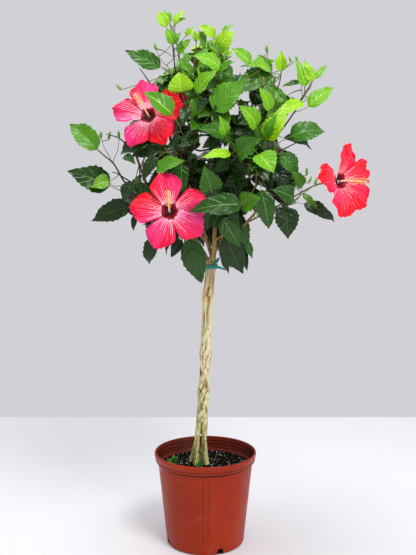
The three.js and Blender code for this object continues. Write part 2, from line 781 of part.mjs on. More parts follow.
function growMass(row, index) {
  const random = seeded(row.seed * 7919);
  const bough = limbs.get(row.bough);
  const end = along(bough, 1);
  const start = end.point.clone().addScaledVector(end.way, -SHOOT.inBough);
  const heart = vec(row.heart);
  const tip = vec(row.tip);
  const outward = tip.clone().sub(heart).normalize();
  const tipReach = row.leaf * SHOOT.tipLeaf;
  const shootTip = tip.clone().addScaledVector(outward, -tipReach);
  const others = [...limbs.values()].filter((limb) => limb.name !== row.bough);
  const solids = [];
  const leaves = [];

  const fits = (points, clear) => points.every((p) => inOwnSpace(p, index)
    && !inBloomSpace(p, clear)
    && others.every((limb) => distanceToLimb(p, limb) > clear));

  // Shoots first, so that every leaf can be kept clear of all of them.
  const shoots = [];
  const addShoot = (points, radii, size, firstLeaf) => {
    const shoot = { points, radii, size, firstLeaf, turn: random() * 6 };
    shoots.push(shoot);
    solids.push(toSolid(tube(points, radii, SHOOT.sides, shoot.turn)));
  };

  const middle = start.clone().lerp(heart, 0.5).addScaledVector(end.way, SHOOT.bow);
  const spineCurve = new THREE.CatmullRomCurve3([start, middle, heart, shootTip]);
  const spine = spineCurve.getSpacedPoints(SHOOT.spineSteps);
  const spineRadii = spine.map((p, i) => lerp(SHOOT.stemRadius, SHOOT.tipRadius, i / SHOOT.spineSteps));
  addShoot(spine, spineRadii, 1, SHOOT.spineFirstLeaf);

  for (let k = 0; k < row.shoots; k += 1) {
    const share = lerp(...SHOOT.alongSpine, (k + 0.5 * random()) / row.shoots);
    const root = spineCurve.getPointAt(share);
    const way = spineCurve.getTangentAt(share);
    const across = new THREE.Vector3(0.2, 1, 0.3).cross(way).normalize();
    const spin = rad(SHOOT.golden) * k + random() * SHOOT.spinPlay;
    const open = rad(lerp(...SHOOT.opening, random()));
    const aim = way.clone().multiplyScalar(Math.cos(open));
    aim.addScaledVector(across.applyAxisAngle(way, spin), Math.sin(open));
    aim.addScaledVector(root.clone().sub(CROWN_MIDDLE).normalize(), SHOOT.outward).normalize();
    const full = row.reach * lerp(SHOOT.leastReach, 1, random());
    for (const scale of SHOOT.tries) {
      const reach = full * scale - row.leaf * SHOOT.leafTrim;
      const far = root.clone().addScaledVector(aim, reach);
      const apart = shoots.every((shoot) => distanceToLimb(far, shoot) > SHOOT.apart);
      const steps = SHOOT.checks.map((t) => root.clone().lerp(far, t));
      if (reach > SHOOT.shortest && apart && fits(steps, LEAF.limbClear)) {
        addShoot([root, far], [SHOOT.sideRadius, SHOOT.tipRadius], SHOOT.sideSize, SHOOT.firstLeaf);
        break;
      }
    }
  }

  const addLeaf = (base, way, length) => {
    const out = base.clone().sub(CROWN_MIDDLE).normalize();
    out.z *= LEAF.flatOut;
    const facing = UP.clone().multiplyScalar(LEAF.faceUp).addScaledVector(out, LEAF.faceOut);
    facing.addScaledVector(LIGHT, LEAF.faceLight);
    facing.addScaledVector(way, -facing.dot(way)).normalize();
    const leaf = leafPoints(base, way, facing, length);
    const samples = leafSamples(leaf);
    if (!fits(samples, LEAF.limbClear)) return false;
    if (samples.some((p) => distanceToLimb(p, bough) < LEAF.boughClear)) return false;
    const free = samples.filter((p) => p.distanceTo(base) > SHOOT.leafFoot);
    const onShoot = (p) => shoots.some((shoot) => distanceToLimb(p, shoot) < LEAF.shootClear);
    if (free.some(onShoot)) return false;
    if (leaves.some((other) => leavesCross(leaf, other))) return false;
    leaves.push(leaf);
    solids.push(leafSolid(leaf));
    return true;
  };

  const leafStep = row.leaf * SHOOT.leafEvery;
  shoots.forEach(({ points, size, firstLeaf, turn }) => {
    const curve = new THREE.CatmullRomCurve3(points);
    const length = curve.getLength();
    const count = Math.max(1, Math.floor((length - firstLeaf) / leafStep));
    let azimuth = turn;
    const lastWay = curve.getTangentAt(1);
    const lastPoint = points[points.length - 1];
    SHOOT.tipLeafTries.some((share) => addLeaf(lastPoint, lastWay, row.leaf * SHOOT.tipLeaf * share));
    for (let k = 0; k <= count; k += 1) {
      const share = Math.min(SHOOT.lastLeaf, (firstLeaf + k * leafStep) / length);
      const base = curve.getPointAt(share);
      const way = curve.getTangentAt(share);
      azimuth += rad(SHOOT.golden);
      const jitter = (random() - 0.5) * LEAF.jitter;
      const across = new THREE.Vector3(0.3, 0.2, 1).cross(way).normalize();
      const young = share > LEAF.youngFrom ? LEAF.youngSize : 1;
      const full = row.leaf * size * young * lerp(...LEAF.size, random());
      for (let attempt = 0; attempt < LEAF.shrink.length; attempt += 1) {
        const spin = azimuth + jitter + attempt * LEAF.tryTurn;
        const radial = across.clone().applyAxisAngle(way, spin);
        const open = rad(lerp(...LEAF.opening, share));
        const leafWay = way.clone().multiplyScalar(Math.cos(open));
        leafWay.addScaledVector(radial, Math.sin(open));
        leafWay.z -= lerp(...LEAF.droop, share);
        leafWay.normalize();
        if (addLeaf(base, leafWay, full * LEAF.shrink[attempt])) break;
      }
    }
  });
  const body = joined(solids).subtract(limbSolid(bough, CLEAR));
  return toGeometry(oneBody(body));
}

// ---------------------------------------------------------------- blooms

function petalGeometry(radius) {
  const { halfWidths, across: columns, innerRadius, thickness } = PETAL;
  const rows = halfWidths.length - 1;
  const points = [];
  const place = (i, j, side) => {
    const share = i / rows;
    const over = (2 * j) / columns - 1;
    const out = lerp(innerRadius, radius, share) - radius * PETAL.rounding * share * over * over;
    const aside = radius * halfWidths[i] * over;
    const bowl = PETAL.bowl * (Math.sin(share * Math.PI * PETAL.bowlWave) - PETAL.bowlBase);
    const back = PETAL.recurve * share ** 4;
    const ripple = Math.sin(over * Math.PI * PETAL.ruffleWaves + PETAL.rufflePhase);
    const wave = PETAL.ruffle * share * share * ripple;
    const tilt = Math.sin(rad(PETAL.lean)) * aside;
    return new THREE.Vector3(out, aside, bowl - back + wave + tilt + (side * thickness) / 2);
  };
  // The two faces of the petal meet along its outline.
  const numbers = [];
  const number = (i, j, side) => {
    const edge = i === 0 || i === rows || j === 0 || j === columns;
    const key = `${i},${j},${edge ? 0 : side}`;
    if (!numbers.includes(key)) {
      numbers.push(key);
      points.push(place(i, j, edge ? 0 : side));
    }
    return numbers.indexOf(key);
  };
  const faces = [];
  for (let i = 0; i < rows; i += 1) {
    for (let j = 0; j < columns; j += 1) {
      [1, -1].forEach((side) => {
        const corners = [[i, j], [i + 1, j], [i + 1, j + 1], [i, j + 1]];
        const [a, b, c, d] = corners.map(([m, n]) => number(m, n, side));
        const pair = (i + j) % 2 ? [[a, b, c], [a, c, d]] : [[a, b, d], [b, c, d]];
        pair.forEach((face) => faces.push(side > 0 ? face : face.reverse()));
      });
    }
  }
  return geometryFrom(points, faces);
}

function bloomLine(row) {
  const face = vec(row.face).normalize();
  const throat = vec(row.throat);
  const back = throat.clone().addScaledVector(face, -BLOOM.calyxLength - BLOOM.stalkBack);
  const root = along(limbs.get(row.from), row.at);
  const leave = back.clone().addScaledVector(face, -BLOOM.stalkLead);
  const middle = root.point.clone().lerp(leave, 0.5);
  const curve = new THREE.CatmullRomCurve3([root.point, middle, leave, back]);
  return curve.getSpacedPoints(BLOOM.stalkSteps);
}

function makeBloom(row) {
  const face = vec(row.face).normalize();
  const throat = vec(row.throat);
  const turn = new THREE.Quaternion().setFromUnitVectors(UP, face);
  const lay = new THREE.Matrix4().compose(throat, turn, new THREE.Vector3(1, 1, 1));
  const solids = [];
  for (let k = 0; k < PETAL.count; k += 1) {
    const uneven = 1 - PETAL.unevenness * (1 - Math.sin(k * PETAL.unevenTurn));
    const petal = petalGeometry(row.radius * uneven);
    petal.rotateZ(rad(row.turn + (360 * k) / PETAL.count));
    solids.push(toSolid(petal.applyMatrix4(lay)));
  }
  const onAxis = (high, sway = 0) => new THREE.Vector3(sway, sway * BLOOM.swayAcross, high).applyMatrix4(lay);
  const cupBack = -BLOOM.calyxLength;
  const cupHighs = [cupBack - BLOOM.neckLength, cupBack, -BLOOM.tubeLength / 2, BLOOM.throatUp];
  const cupRadii = [BLOOM.neckRadius, BLOOM.calyxRadius, BLOOM.calyxRadius, BLOOM.throatRadius];
  const cup = tube(cupHighs.map((high) => onAxis(high)), cupRadii, BLOOM.cupSides);
  const { columnLength, columnRadius, headRadius, headTaper } = BLOOM;
  const headFrom = columnLength - BLOOM.headLength;
  const columnHighs = [0, headFrom, headFrom + headTaper, columnLength - headTaper, columnLength];
  const columnRadii = [columnRadius, columnRadius, headRadius * BLOOM.headFoot, headRadius, BLOOM.tipRadius];
  const columnLine = columnHighs.map((high, i) => onAxis(high, BLOOM.sway[i]));
  const column = tube(columnLine, columnRadii, BLOOM.columnSides);
  const line = limbs.get(`${row.name}_stalk`);
  const reach = line.points[line.points.length - 1].clone().addScaledVector(face, BLOOM.stalkInto);
  const stalk = tube([...line.points, reach], [...line.radii, BLOOM.stalkRadius], BLOOM.stalkSides);
  let solid = joined([...solids, toSolid(cup), toSolid(column), toSolid(stalk)]);
  [...limbs.values()].filter((limb) => !limb.name.endsWith('_stalk')).forEach((limb) => {
    const near = line.points.some((p) => distanceToLimb(p, limb) < BOUGH.near);
    if (near) solid = solid.subtract(limbSolid(limb, CLEAR));
  });
  return toGeometry(oneBody(solid));
}

// ---------------------------------------------------------------- the whole plant

const plant = new THREE.Group();

const FINISH = {
  pot: { color: 0x9e3520, roughness: 0.42 },
  soil: { color: 0x1e1712, roughness: 0.95 },
  stem: { color: 0xb9ad7e, roughness: 0.82 },
  bough: { color: 0x9a7f55, roughness: 0.85 },
  leaf: { color: 0x3f7a24, roughness: 0.4 },
  bloom: { color: 0xe8345c, roughness: 0.6 },
  tie: { color: 0x1f8f7e, roughness: 0.5 },
};

function addPiece(name, geometry, finish) {
  const material = new THREE.MeshStandardMaterial({ ...FINISH[finish], metalness: 0 });
  const mesh = new THREE.Mesh(geometry, material);
  mesh.name = name;
  plant.add(mesh);
}

addPiece('pot', makePot(), 'pot');
addPiece('soil', makeSoil(), 'soil');

makeStems();
STEMS.forEach((s, k) => {
  const before = STEMS.slice(0, k).map((other) => limbs.get(other.name));
  addPiece(s.name, toGeometry(flatFoot(cutClear(limbs.get(s.name), before))), 'stem');
});
addPiece('tie', makeTie(), 'tie');

const madeBefore = [...limbs.values()];
BOUGHS.forEach((row) => {
  makeBough(row);
  const limb = limbs.get(row.name);
  addPiece(row.name, toGeometry(cutClear(limb, madeBefore)), 'bough');
  madeBefore.push(limb);
});

BLOOMS.forEach((row) => {
  const points = bloomLine(row);
  addLimb(`${row.name}_stalk`, points, points.map(() => BLOOM.stalkRadius), BLOOM.stalkSides);
});
BLOOMS.forEach((row) => addPiece(row.name, makeBloom(row), 'bloom'));

MASSES.forEach((row, index) => addPiece(row.name, growMass(row, index), 'leaf'));

export default plant;
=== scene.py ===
"""Looks of the potted hibiscus standard: bark, leaves, blooms, pot and soil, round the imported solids.

Named sizes are in millimetres in the part's frame, and meshes are made in metres.
"""
import math

import bpy
import numpy as np
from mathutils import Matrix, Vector, noise


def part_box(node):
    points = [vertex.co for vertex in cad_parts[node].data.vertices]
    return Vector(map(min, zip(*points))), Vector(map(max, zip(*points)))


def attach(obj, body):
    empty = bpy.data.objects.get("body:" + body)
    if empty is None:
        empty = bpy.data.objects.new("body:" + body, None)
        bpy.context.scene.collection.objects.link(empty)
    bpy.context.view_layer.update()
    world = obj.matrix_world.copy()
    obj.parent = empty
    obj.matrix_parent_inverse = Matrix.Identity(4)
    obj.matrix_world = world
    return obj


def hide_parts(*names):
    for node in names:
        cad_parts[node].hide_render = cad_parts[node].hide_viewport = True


MM = 0.001

# ---------------------------------------------------------------- sizes shared with the solids

CLEAR = 0.3  # gap between pieces that touch

POT = {
    "height": 213, "rim": 117.5, "top": 109, "base": 90, "rounding": 7, "band": 21, "wall": 2.6, "floor": 3.2,
}
DRAIN = {"count": 4, "radius": 7.5, "turn": 22, "inside": 16, "outside": 6, "high": 14, "low": -2, "lift": 5}
SOIL_TOP = 183
SOIL_DISH = 2.5

STEM = {
    "flare": 8.4, "low": 6.0, "high": 5.3, "tip": 4.6, "flare_height": 26, "foot": SOIL_TOP + CLEAR,
    "braid_from": 240, "braid_step": 45, "tie_height": 643, "slot": 6.6, "spread": 0.55, "spread_until": 320,
}
TRUNK_LINE = np.array([(-14, 0, 183), (-6, 0, 320), (0, 0, 420), (5, 0, 565), (13, 0, 643)], float)
STEMS = [
    ("stem_1", (-17, 14), 3, (-2, 24, 716)),
    ("stem_2", (-7, -13), 0, (-24, -16, 706)),
    ("stem_3", (3, 17), 2, (46, 16, 712)),
    ("stem_4", (16, -6), 1, (21, -18, 724)),
]
BRAID = ["back", "front", "turn", "front", "turn", "front", "back", "turn"]
CORNERS = [(-1, -1), (1, -1), (1, 1), (-1, 1)]

# Bough: the limb it grows from, how far along, its end, its bow and its radii.
BOUGHS = [
    ("bough_left_low", "stem_2", 0.975, (-112, -6, 752), 14, (3.6, 2.6)),
    ("bough_left", "stem_2", 1, (-150, -26, 822), 12, (4.2, 2.7)),
    ("bough_left_up", "bough_left", 0.42, (-158, 24, 896), 10, (3.0, 2.5)),
    ("bough_front_left", "bough_left", 0.16, (-30, -84, 834), -6, (2.9, 2.4)),
    ("bough_low_left", "stem_2", 0.95, (-40, -48, 730), 10, (2.6, 2.2)),
    ("bough_back_low_left", "stem_1", 0.965, (-62, 98, 768), 10, (3.2, 2.5)),
    ("bough_upper_left", "stem_1", 1, (-100, 38, 1010), 14, (4.3, 2.5)),
    ("bough_back_left", "bough_upper_left", 0.3, (-96, 118, 902), 8, (3.2, 2.5)),
    ("bough_top_left", "bough_upper_left", 0.5, (-54, 6, 1050), -8, (3.0, 2.4)),
    ("bough_back_mid", "bough_upper_left", 0.16, (10, 148, 858), 8, (3.1, 2.5)),
    ("bough_top_mid", "stem_4", 1, (26, -14, 1036), -6, (4.4, 2.5)),
    ("bough_front_top", "bough_top_mid", 0.5, (24, -74, 962), 6, (3.0, 2.4)),
    ("bough_front_mid", "bough_top_mid", 0.16, (70, -100, 846), 6, (3.1, 2.5)),
    ("bough_front_low", "bough_top_mid", 0.04, (30, -84, 758), 2, (2.7, 2.3)),
    ("bough_low_right", "stem_4", 0.955, (66, -50, 738), 6, (2.7, 2.3)),
    ("bough_right_low", "stem_3", 0.975, (120, -8, 774), 10, (3.3, 2.5)),
    ("bough_top_right", "stem_3", 1, (106, 26, 1004), 10, (4.3, 2.5)),
    ("bough_right", "bough_top_right", 0.22, (140, 18, 886), 12, (3.2, 2.5)),
    ("bough_far_right", "bough_top_right", 0.5, (172, -16, 972), 10, (2.9, 2.4)),
    ("bough_back_right", "bough_top_right", 0.34, (124, 118, 898), 8, (3.0, 2.4)),
    ("bough_back_low_right", "stem_3", 0.955, (74, 98, 772), 8, (2.9, 2.4)),
    ("bough_back_top", "bough_top_right", 0.6, (52, 98, 1000), 6, (2.7, 2.3)),
]

# Mass: its bough, the middle of its space, its furthest tip, leaf length, shoots, reach and seed.
MASSES = [
    ("leaves_left_low", "bough_left_low", (-152, -8, 772), (-250, 0, 745), 100, 4, 105, 11),
    ("leaves_left", "bough_left", (-200, -34, 852), (-300, -24, 850), 104, 4, 105, 12),
    ("leaves_left_up", "bough_left_up", (-198, 32, 932), (-300, 22, 955), 80, 4, 105, 13),
    ("leaves_front_left", "bough_front_left", (-44, -122, 880), (-70, -205, 930), 100, 5, 110, 14),
    ("leaves_low_left", "bough_low_left", (-44, -72, 700), (-24, -84, 612), 108, 3, 90, 15),
    ("leaves_front_low", "bough_front_low", (26, -116, 782), (30, -205, 745), 102, 4, 100, 32),
    ("leaves_back_low_left", "bough_back_low_left", (-92, 132, 780), (-176, 190, 742), 100, 4, 120, 16),
    ("leaves_upper_left", "bough_upper_left", (-122, 42, 1050), (-174, 20, 1124), 76, 5, 100, 17),
    ("leaves_back_left", "bough_back_left", (-122, 152, 934), (-206, 206, 985), 92, 4, 125, 18),
    ("leaves_top_left", "bough_top_left", (-58, 0, 1104), (-74, 0, 1205), 68, 6, 95, 19),
    ("leaves_back_mid", "bough_back_mid", (16, 190, 872), (18, 262, 850), 98, 4, 125, 20),
    ("leaves_top_mid", "bough_top_mid", (30, -14, 1086), (42, -24, 1170), 70, 6, 100, 21),
    ("leaves_front_top", "bough_front_top", (24, -112, 1000), (40, -186, 1040), 90, 6, 110, 22),
    ("leaves_front_mid", "bough_front_mid", (86, -136, 882), (104, -222, 880), 102, 5, 110, 23),
    ("leaves_low_right", "bough_low_right", (76, -66, 716), (78, -84, 642), 106, 3, 90, 24),
    ("leaves_right_low", "bough_right_low", (160, -16, 796), (204, -20, 716), 100, 5, 105, 25),
    ("leaves_top_right", "bough_top_right", (118, 34, 1058), (176, 20, 1120), 78, 6, 105, 26),
    ("leaves_right", "bough_right", (178, 24, 906), (268, 20, 952), 96, 4, 105, 27),
    ("leaves_far_right", "bough_far_right", (204, -26, 1004), (256, -20, 1080), 80, 6, 100, 28),
    ("leaves_back_right", "bough_back_right", (150, 152, 930), (224, 200, 976), 94, 4, 125, 29),
    ("leaves_back_low_right", "bough_back_low_right", (104, 134, 784), (176, 190, 742), 100, 4, 120, 30),
    ("leaves_back_top", "bough_back_top", (44, 130, 1040), (44, 176, 1116), 82, 5, 115, 31),
]

# Bloom: its limb, how far along its stalk leaves, the throat, the way it faces, its radius,
# the turn of each petal in degrees, the way its column bends and how far its rim stands forward.
BLOOMS = [
    ("bloom_front", "bough_left", 0.3, (-72, -178, 770), (-0.02, -0.97, 0.12), 80,
     (98, 173, 250, 326, 15), (0.0, 0.0, 1.0), 2),
    ("bloom_upper_left", "bough_left_up", 0.8, (-118, -118, 968), (-0.18, -0.93, 0.3), 76,
     (102, 171, 245, 308, 20), (-0.6, 0.0, 1.0), 6),
    ("bloom_right", "bough_right_low", 0.55, (288, -96, 832), (0.6, -0.79, 0.1), 78,
     (77, 175, 262, 315, 18), (0.9, 0.4, -0.1), 15),
    ("bloom_back", "bough_upper_left", 0.72, (-96, 208, 1026), (-0.3, 0.88, 0.36), 74,
     (92, 164, 236, 308, 20), (0.0, 0.0, 1.0), 4),
]
# Every bloom: how far back its calyx and neck reach, how far its stalk runs straight behind them, the
# stalk's radius and the length of its column.
BLOOM = {"calyx": 24, "neck": 16, "lead": 34, "stalk": 2.0, "column": 60}

CROWN_MIDDLE = np.array((15.0, 10.0, 880.0))
LIGHT = np.array((-0.1, -0.95, 0.3))
UP = np.array((0.0, 0.0, 1.0))
GOLDEN = math.radians(137.5)

# Shoots: radii of each rank, where leaves sit, how far apart tips keep and how many rise on each bough.
SHOOT = {
    "stem": 2.4, "side": 1.8, "fine": 1.4, "tip": 0.9, "leaf_every": 0.2, "first_leaf": 14, "tip_leaf": 0.62,
    "spine_steps": 3, "foot": 26, "apart": 16, "shortest": 20, "fine_apart": 9, "step": 9, "on_bough": 5,
    "opening": (46, 78), "outward": 0.35, "tries": (1, 0.85, 0.7, 0.55, 0.42), "limb_clear": 5,
    "tested": (0.2, 0.4, 0.6, 0.8, 1),
}
# Leaves: shares of their length, the ways they face, how far past its solid's box and its own cell a
# mass may reach, what it keeps clear of, and how often a filling leaf is tried and its size.
LEAF = {
    "petiole": 0.17, "half_width": 0.375, "fold": 0.3, "bend": (0.4, 1.5), "droop": (0.6, 0.15),
    "face_up": 0.35, "face_out": 0.75, "face_light": 0.5, "box_over": 6, "inward": 0.6, "cell_over": -30,
    "limb_clear": 4, "bough_clear": 2, "shoot_clear": 1.5, "cell_clear": 0.6, "cross_reach": 90,
    "filler": 420, "filler_size": (0.55, 0.95),
}
LEAF_ROWS = 16
LEAF_ACROSS = np.array((-1, -0.68, -0.36, -0.032, 0.032, 0.36, 0.68, 1.0))
SHRINK = (1, 1, 1, 0.85, 0.85, 0.7, 0.6)

# Leaves that stand as the photograph shows them: foot and tip of the blade, half its width as a share
# of its length, and how dark it is from 0 to 1, partly age and partly painted light and shade: 0 new and lit
# bright, 1 old and shaded dark.
FRONT_LEAVES = [
    ((-83, -52, 1159), (-102, -37, 1193), 0.28, 0.05),
    ((-64, -55, 1163), (-44, -39, 1197), 0.22, 0.08),
    ((-68, -76, 1120), (-84, -76, 1150), 0.36, 0.22),
    ((-68, -76, 1120), (-51, -76, 1142), 0.34, 0.32),
    ((-96, -58, 1073), (-174, -23, 1114), 0.21, 0.55),
    ((-56, -76, 1100), (-28, -76, 1130), 0.30, 0.18),
    ((-19, -97, 1121), (-26, -86, 1148), 0.15, 0.00),
    ((-17, -107, 1120), (-11, -107, 1142), 0.16, 0.00),
    ((20, -107, 1127), (-16, -105, 1149), 0.26, 0.12),
    ((-8, -101, 1139), (-2, -107, 1099), 0.20, 0.40),
    ((30, -107, 1107), (59, -107, 1140), 0.36, 0.10),
    ((37, -101, 1139), (59, -99, 1153), 0.26, 0.15),
    ((34, -107, 1097), (58, -107, 1124), 0.28, 0.20),
    ((28, -107, 1091), (6, -107, 1111), 0.34, 0.30),
    ((29, -145, 1051), (61, -155, 1071), 0.25, 0.35),
    ((31, -142, 1059), (-26, -150, 1082), 0.34, 0.22),
    ((-48, -152, 1010), (-53, -161, 1049), 0.61, 0.10),
    ((-16, -156, 1008), (27, -165, 1053), 0.30, 0.16),
    ((-30, -145, 1045), (-54, -149, 1076), 0.30, 0.30),
    ((-8, -150, 1038), (-14, -160, 1059), 0.13, 0.02),
    ((-66, -172, 964), (-124, -172, 1009), 0.31, 0.30),
    ((92, -130, 1071), (56, -109, 1105), 0.24, 0.28),
    ((138, -90, 1059), (74, -116, 1065), 0.22, 0.22),
    ((141, -67, 1061), (109, -88, 1095), 0.24, 0.30),
    ((160, -91, 1061), (159, -91, 1103), 0.29, 0.12),
    ((210, -91, 1030), (190, -91, 1085), 0.26, 0.20),
    ((224, -91, 1041), (207, -90, 1084), 0.26, 0.12),
    ((235, -58, 1051), (263, -43, 1082), 0.16, 0.15),
    ((200, -89, 1040), (161, -89, 1029), 0.16, 0.50),
    ((219, -82, 989), (277, -54, 1033), 0.22, 0.26),
    ((203, -116, 994), (133, -149, 955), 0.16, 0.14),
    ((132, -149, 975), (107, -166, 1019), 0.27, 0.20),
    ((154, -83, 979), (126, -56, 1041), 0.22, 0.42),
    ((128, -155, 916), (168, -159, 964), 0.36, 0.14),
    ((125, -156, 920), (145, -167, 965), 0.19, 0.40),
    ((104, -159, 942), (67, -182, 980), 0.33, 0.20),
    ((136, -93, 1055), (65, -127, 1009), 0.32, 0.50),
    ((176, -129, 922), (252, -98, 935), 0.25, 0.50),
    ((167, -89, 923), (229, -62, 899), 0.13, 0.85),
    ((65, -218, 878), (109, -252, 910), 0.37, 0.45),
    ((102, -150, 912), (54, -172, 926), 0.28, 0.72),
    ((18, -163, 973), (84, -166, 1032), 0.34, 0.40),
    ((40, -200, 921), (28, -222, 957), 0.27, 0.20),
    ((42, -164, 922), (-14, -187, 933), 0.28, 0.50),
    ((50, -208, 884), (-7, -236, 873), 0.19, 0.12),
    ((-98, -156, 854), (-38, -183, 870), 0.28, 0.42),
    ((16, -155, 807), (-2, -180, 861), 0.38, 0.55),
    ((-47, -154, 863), (-43, -167, 803), 0.29, 0.60),
    ((107, -205, 882), (135, -224, 845), 0.51, 0.20),
    ((74, -148, 782), (114, -166, 798), 0.46, 0.38),
    ((74, -196, 784), (-35, -196, 769), 0.20, 0.60),
    ((84, -144, 837), (39, -165, 819), 0.39, 0.75),
    ((159, -113, 886), (193, -91, 845), 0.31, 0.55),
    ((206, -100, 819), (180, -118, 853), 0.31, 0.50),
    ((139, -126, 856), (177, -126, 817), 0.26, 0.92),
    ((97, -132, 840), (130, -142, 815), 0.21, 0.92),
    ((186, -123, 794), (136, -145, 814), 0.35, 0.62),
    ((116, -141, 813), (135, -116, 730), 0.23, 0.60),
    ((175, -48, 776), (182, -48, 706), 0.38, 0.80),
    ((217, -38, 783), (291, -6, 742), 0.18, 0.85),
    ((211, -66, 805), (244, -66, 771), 0.16, 0.40),
    ((35, -132, 755), (74, -113, 692), 0.27, 0.66),
    ((71, -121, 740), (89, -109, 693), 0.25, 0.70),
    ((87, -105, 705), (101, -89, 667), 0.20, 0.60),
    ((45, -90, 713), (83, -55, 632), 0.28, 0.75),
    ((89, -67, 681), (93, -49, 635), 0.13, 0.80),
    ((41, -82, 693), (52, -58, 631), 0.15, 0.80),
    ((-35, -77, 708), (-8, -37, 609), 0.23, 0.70),
    ((-103, -55, 705), (-124, -31, 648), 0.28, 0.85),
    ((-49, -93, 707), (-73, -75, 668), 0.24, 0.90),
    ((-73, -89, 707), (-84, -74, 672), 0.11, 0.90),
    ((-231, -74, 900), (-293, -42, 954), 0.24, 0.36),
    ((-213, -10, 823), (-307, -10, 855), 0.31, 0.62),
    ((-209, -34, 833), (-251, -34, 819), 0.50, 0.24),
    ((-109, -131, 916), (-179, -100, 888), 0.26, 0.85),
    ((-97, -129, 891), (-157, -105, 883), 0.19, 0.85),
    ((-169, -121, 883), (-143, -134, 865), 0.26, 0.70),
    ((-97, -139, 878), (-127, -146, 831), 0.28, 0.75),
    ((-166, -29, 778), (-256, -5, 744), 0.24, 0.72),
    ((-151, -111, 826), (-172, -99, 785), 0.35, 0.85),
    ((-151, -89, 822), (-112, -71, 803), 0.28, 0.60),
    ((-154, -23, 758), (-160, -23, 722), 0.20, 0.85),
    ((29, -150, 914), (-6, -167, 896), 0.31, 0.85),
    ((2, -145, 837), (31, -158, 794), 0.29, 0.80),
    ((63, -141, 1000), (18, -169, 951), 0.28, 0.80),
    ((92, -141, 983), (67, -160, 948), 0.28, 0.85),
    ((56, -144, 868), (90, -159, 841), 0.28, 0.85),
    ((48, -135, 800), (16, -151, 782), 0.28, 0.85),
    ((-18, -147, 914), (-55, -164, 897), 0.28, 0.85),
    ((-35, -145, 979), (-48, -164, 937), 0.26, 0.80),
    ((10, -146, 999), (-16, -163, 969), 0.28, 0.80),
    ((-52, -76, 1099), (-51, -76, 1127), 0.30, 0.35),
    ((-54, -141, 1074), (-28, -156, 1047), 0.27, 0.35),
    ((-84, -35, 1177), (-107, -26, 1185), 0.28, 0.10),
    ((-75, -45, 1171), (-91, -33, 1197), 0.26, 0.15),
    ((-62, -50, 1166), (-60, -41, 1191), 0.23, 0.10),
    ((-55, -67, 1168), (-39, -74, 1171), 0.28, 0.30),
    ((-40, -76, 1136), (-25, -76, 1154), 0.30, 0.10),
    ((-2, -107, 1130), (12, -107, 1149), 0.30, 0.10),
    ((117, -131, 1081), (100, -141, 1064), 0.28, 0.20),
    ((130, -65, 1076), (150, -75, 1084), 0.27, 0.25),
    ((150, -75, 1049), (132, -65, 1036), 0.27, 0.40),
    ((85, -150, 1038), (61, -162, 1021), 0.28, 0.50),
    ((112, -146, 1027), (87, -159, 1009), 0.28, 0.55),
    ((164, -91, 1005), (147, -91, 987), 0.30, 0.30),
    ((-35, -110, 1077), (-46, -100, 1099), 0.28, 0.30),
    ((-10, -128, 1078), (6, -115, 1106), 0.28, 0.35),
    ((43, -146, 1063), (55, -159, 1033), 0.28, 0.50),
    ((71, -146, 1019), (46, -160, 1037), 0.27, 0.60),
    ((2, -149, 1031), (18, -162, 1003), 0.28, 0.65),
    ((15, -131, 784), (4, -130, 728), 0.30, 0.85),
    ((35, -131, 776), (19, -135, 732), 0.28, 0.80),
    ((0, -126, 769), (-19, -127, 728), 0.30, 0.88),
    ((52, -131, 780), (69, -136, 742), 0.30, 0.80),
    ((-10, 50, 745), (-3, 50, 683), 0.26, 0.97),
    ((6, 44, 741), (13, 44, 681), 0.28, 0.97),
    ((22, 52, 743), (25, 52, 682), 0.28, 0.97),
    ((36, 46, 736), (34, 46, 685), 0.26, 0.95),
]

# The crown's edge seen from the eye, at the plane's depth, and the patches of sky in it with their radii.
CROWN_OUTLINE = [
    (-94, 1050), (-73, 1066), (-50, 1088), (-23, 1115), (19, 1127), (50, 1123), (58, 1086),
    (46, 1056), (81, 1060), (119, 1078), (142, 1058), (150, 1033), (169, 1017), (201, 1002),
    (184, 976), (157, 943), (149, 918), (171, 897), (194, 876), (213, 830), (195, 798),
    (182, 781), (197, 758), (185, 728), (161, 745), (144, 765), (125, 762), (100, 737),
    (94, 701), (92, 669), (60, 652), (38, 660), (36, 707), (23, 724), (2, 728),
    (-4, 707), (-13, 656), (-39, 673), (-47, 707), (-60, 705), (-75, 682), (-94, 694),
    (-120, 664), (-135, 694), (-117, 718), (-157, 760), (-185, 760), (-168, 792), (-178, 813),
    (-171, 834), (-148, 853), (-152, 874), (-165, 884), (-150, 897), (-181, 903), (-162, 918),
    (-170, 943), (-149, 963), (-166, 990), (-138, 1013), (-115, 1031),
]
SKY = [
    (-163, 857, 12.8), (-137, 876, 9.6), (54, 984, 10.6), (86, 1007, 8.5), (94, 974, 9.6), (2, 905, 7.5),
    (-19, 893, 6.4), (133, 859, 8.5), (108, 832, 9.6), (123, 813, 7.5), (95, 758, 9.6), (142, 786, 8.5),
    (161, 800, 6.4), (80, 918, 6.4), (17, 834, 5.3), (56, 1025, 6.4), (-108, 863, 6.4), (-123, 838, 6.4),
    (80, 853, 6.4), (-41, 745, 6.4), (-74, 899, 6.4), (36, 897, 5.3), (110, 1062, 6.4), (6, 1082, 5.3),
    (-31, 1074, 5.3),
]

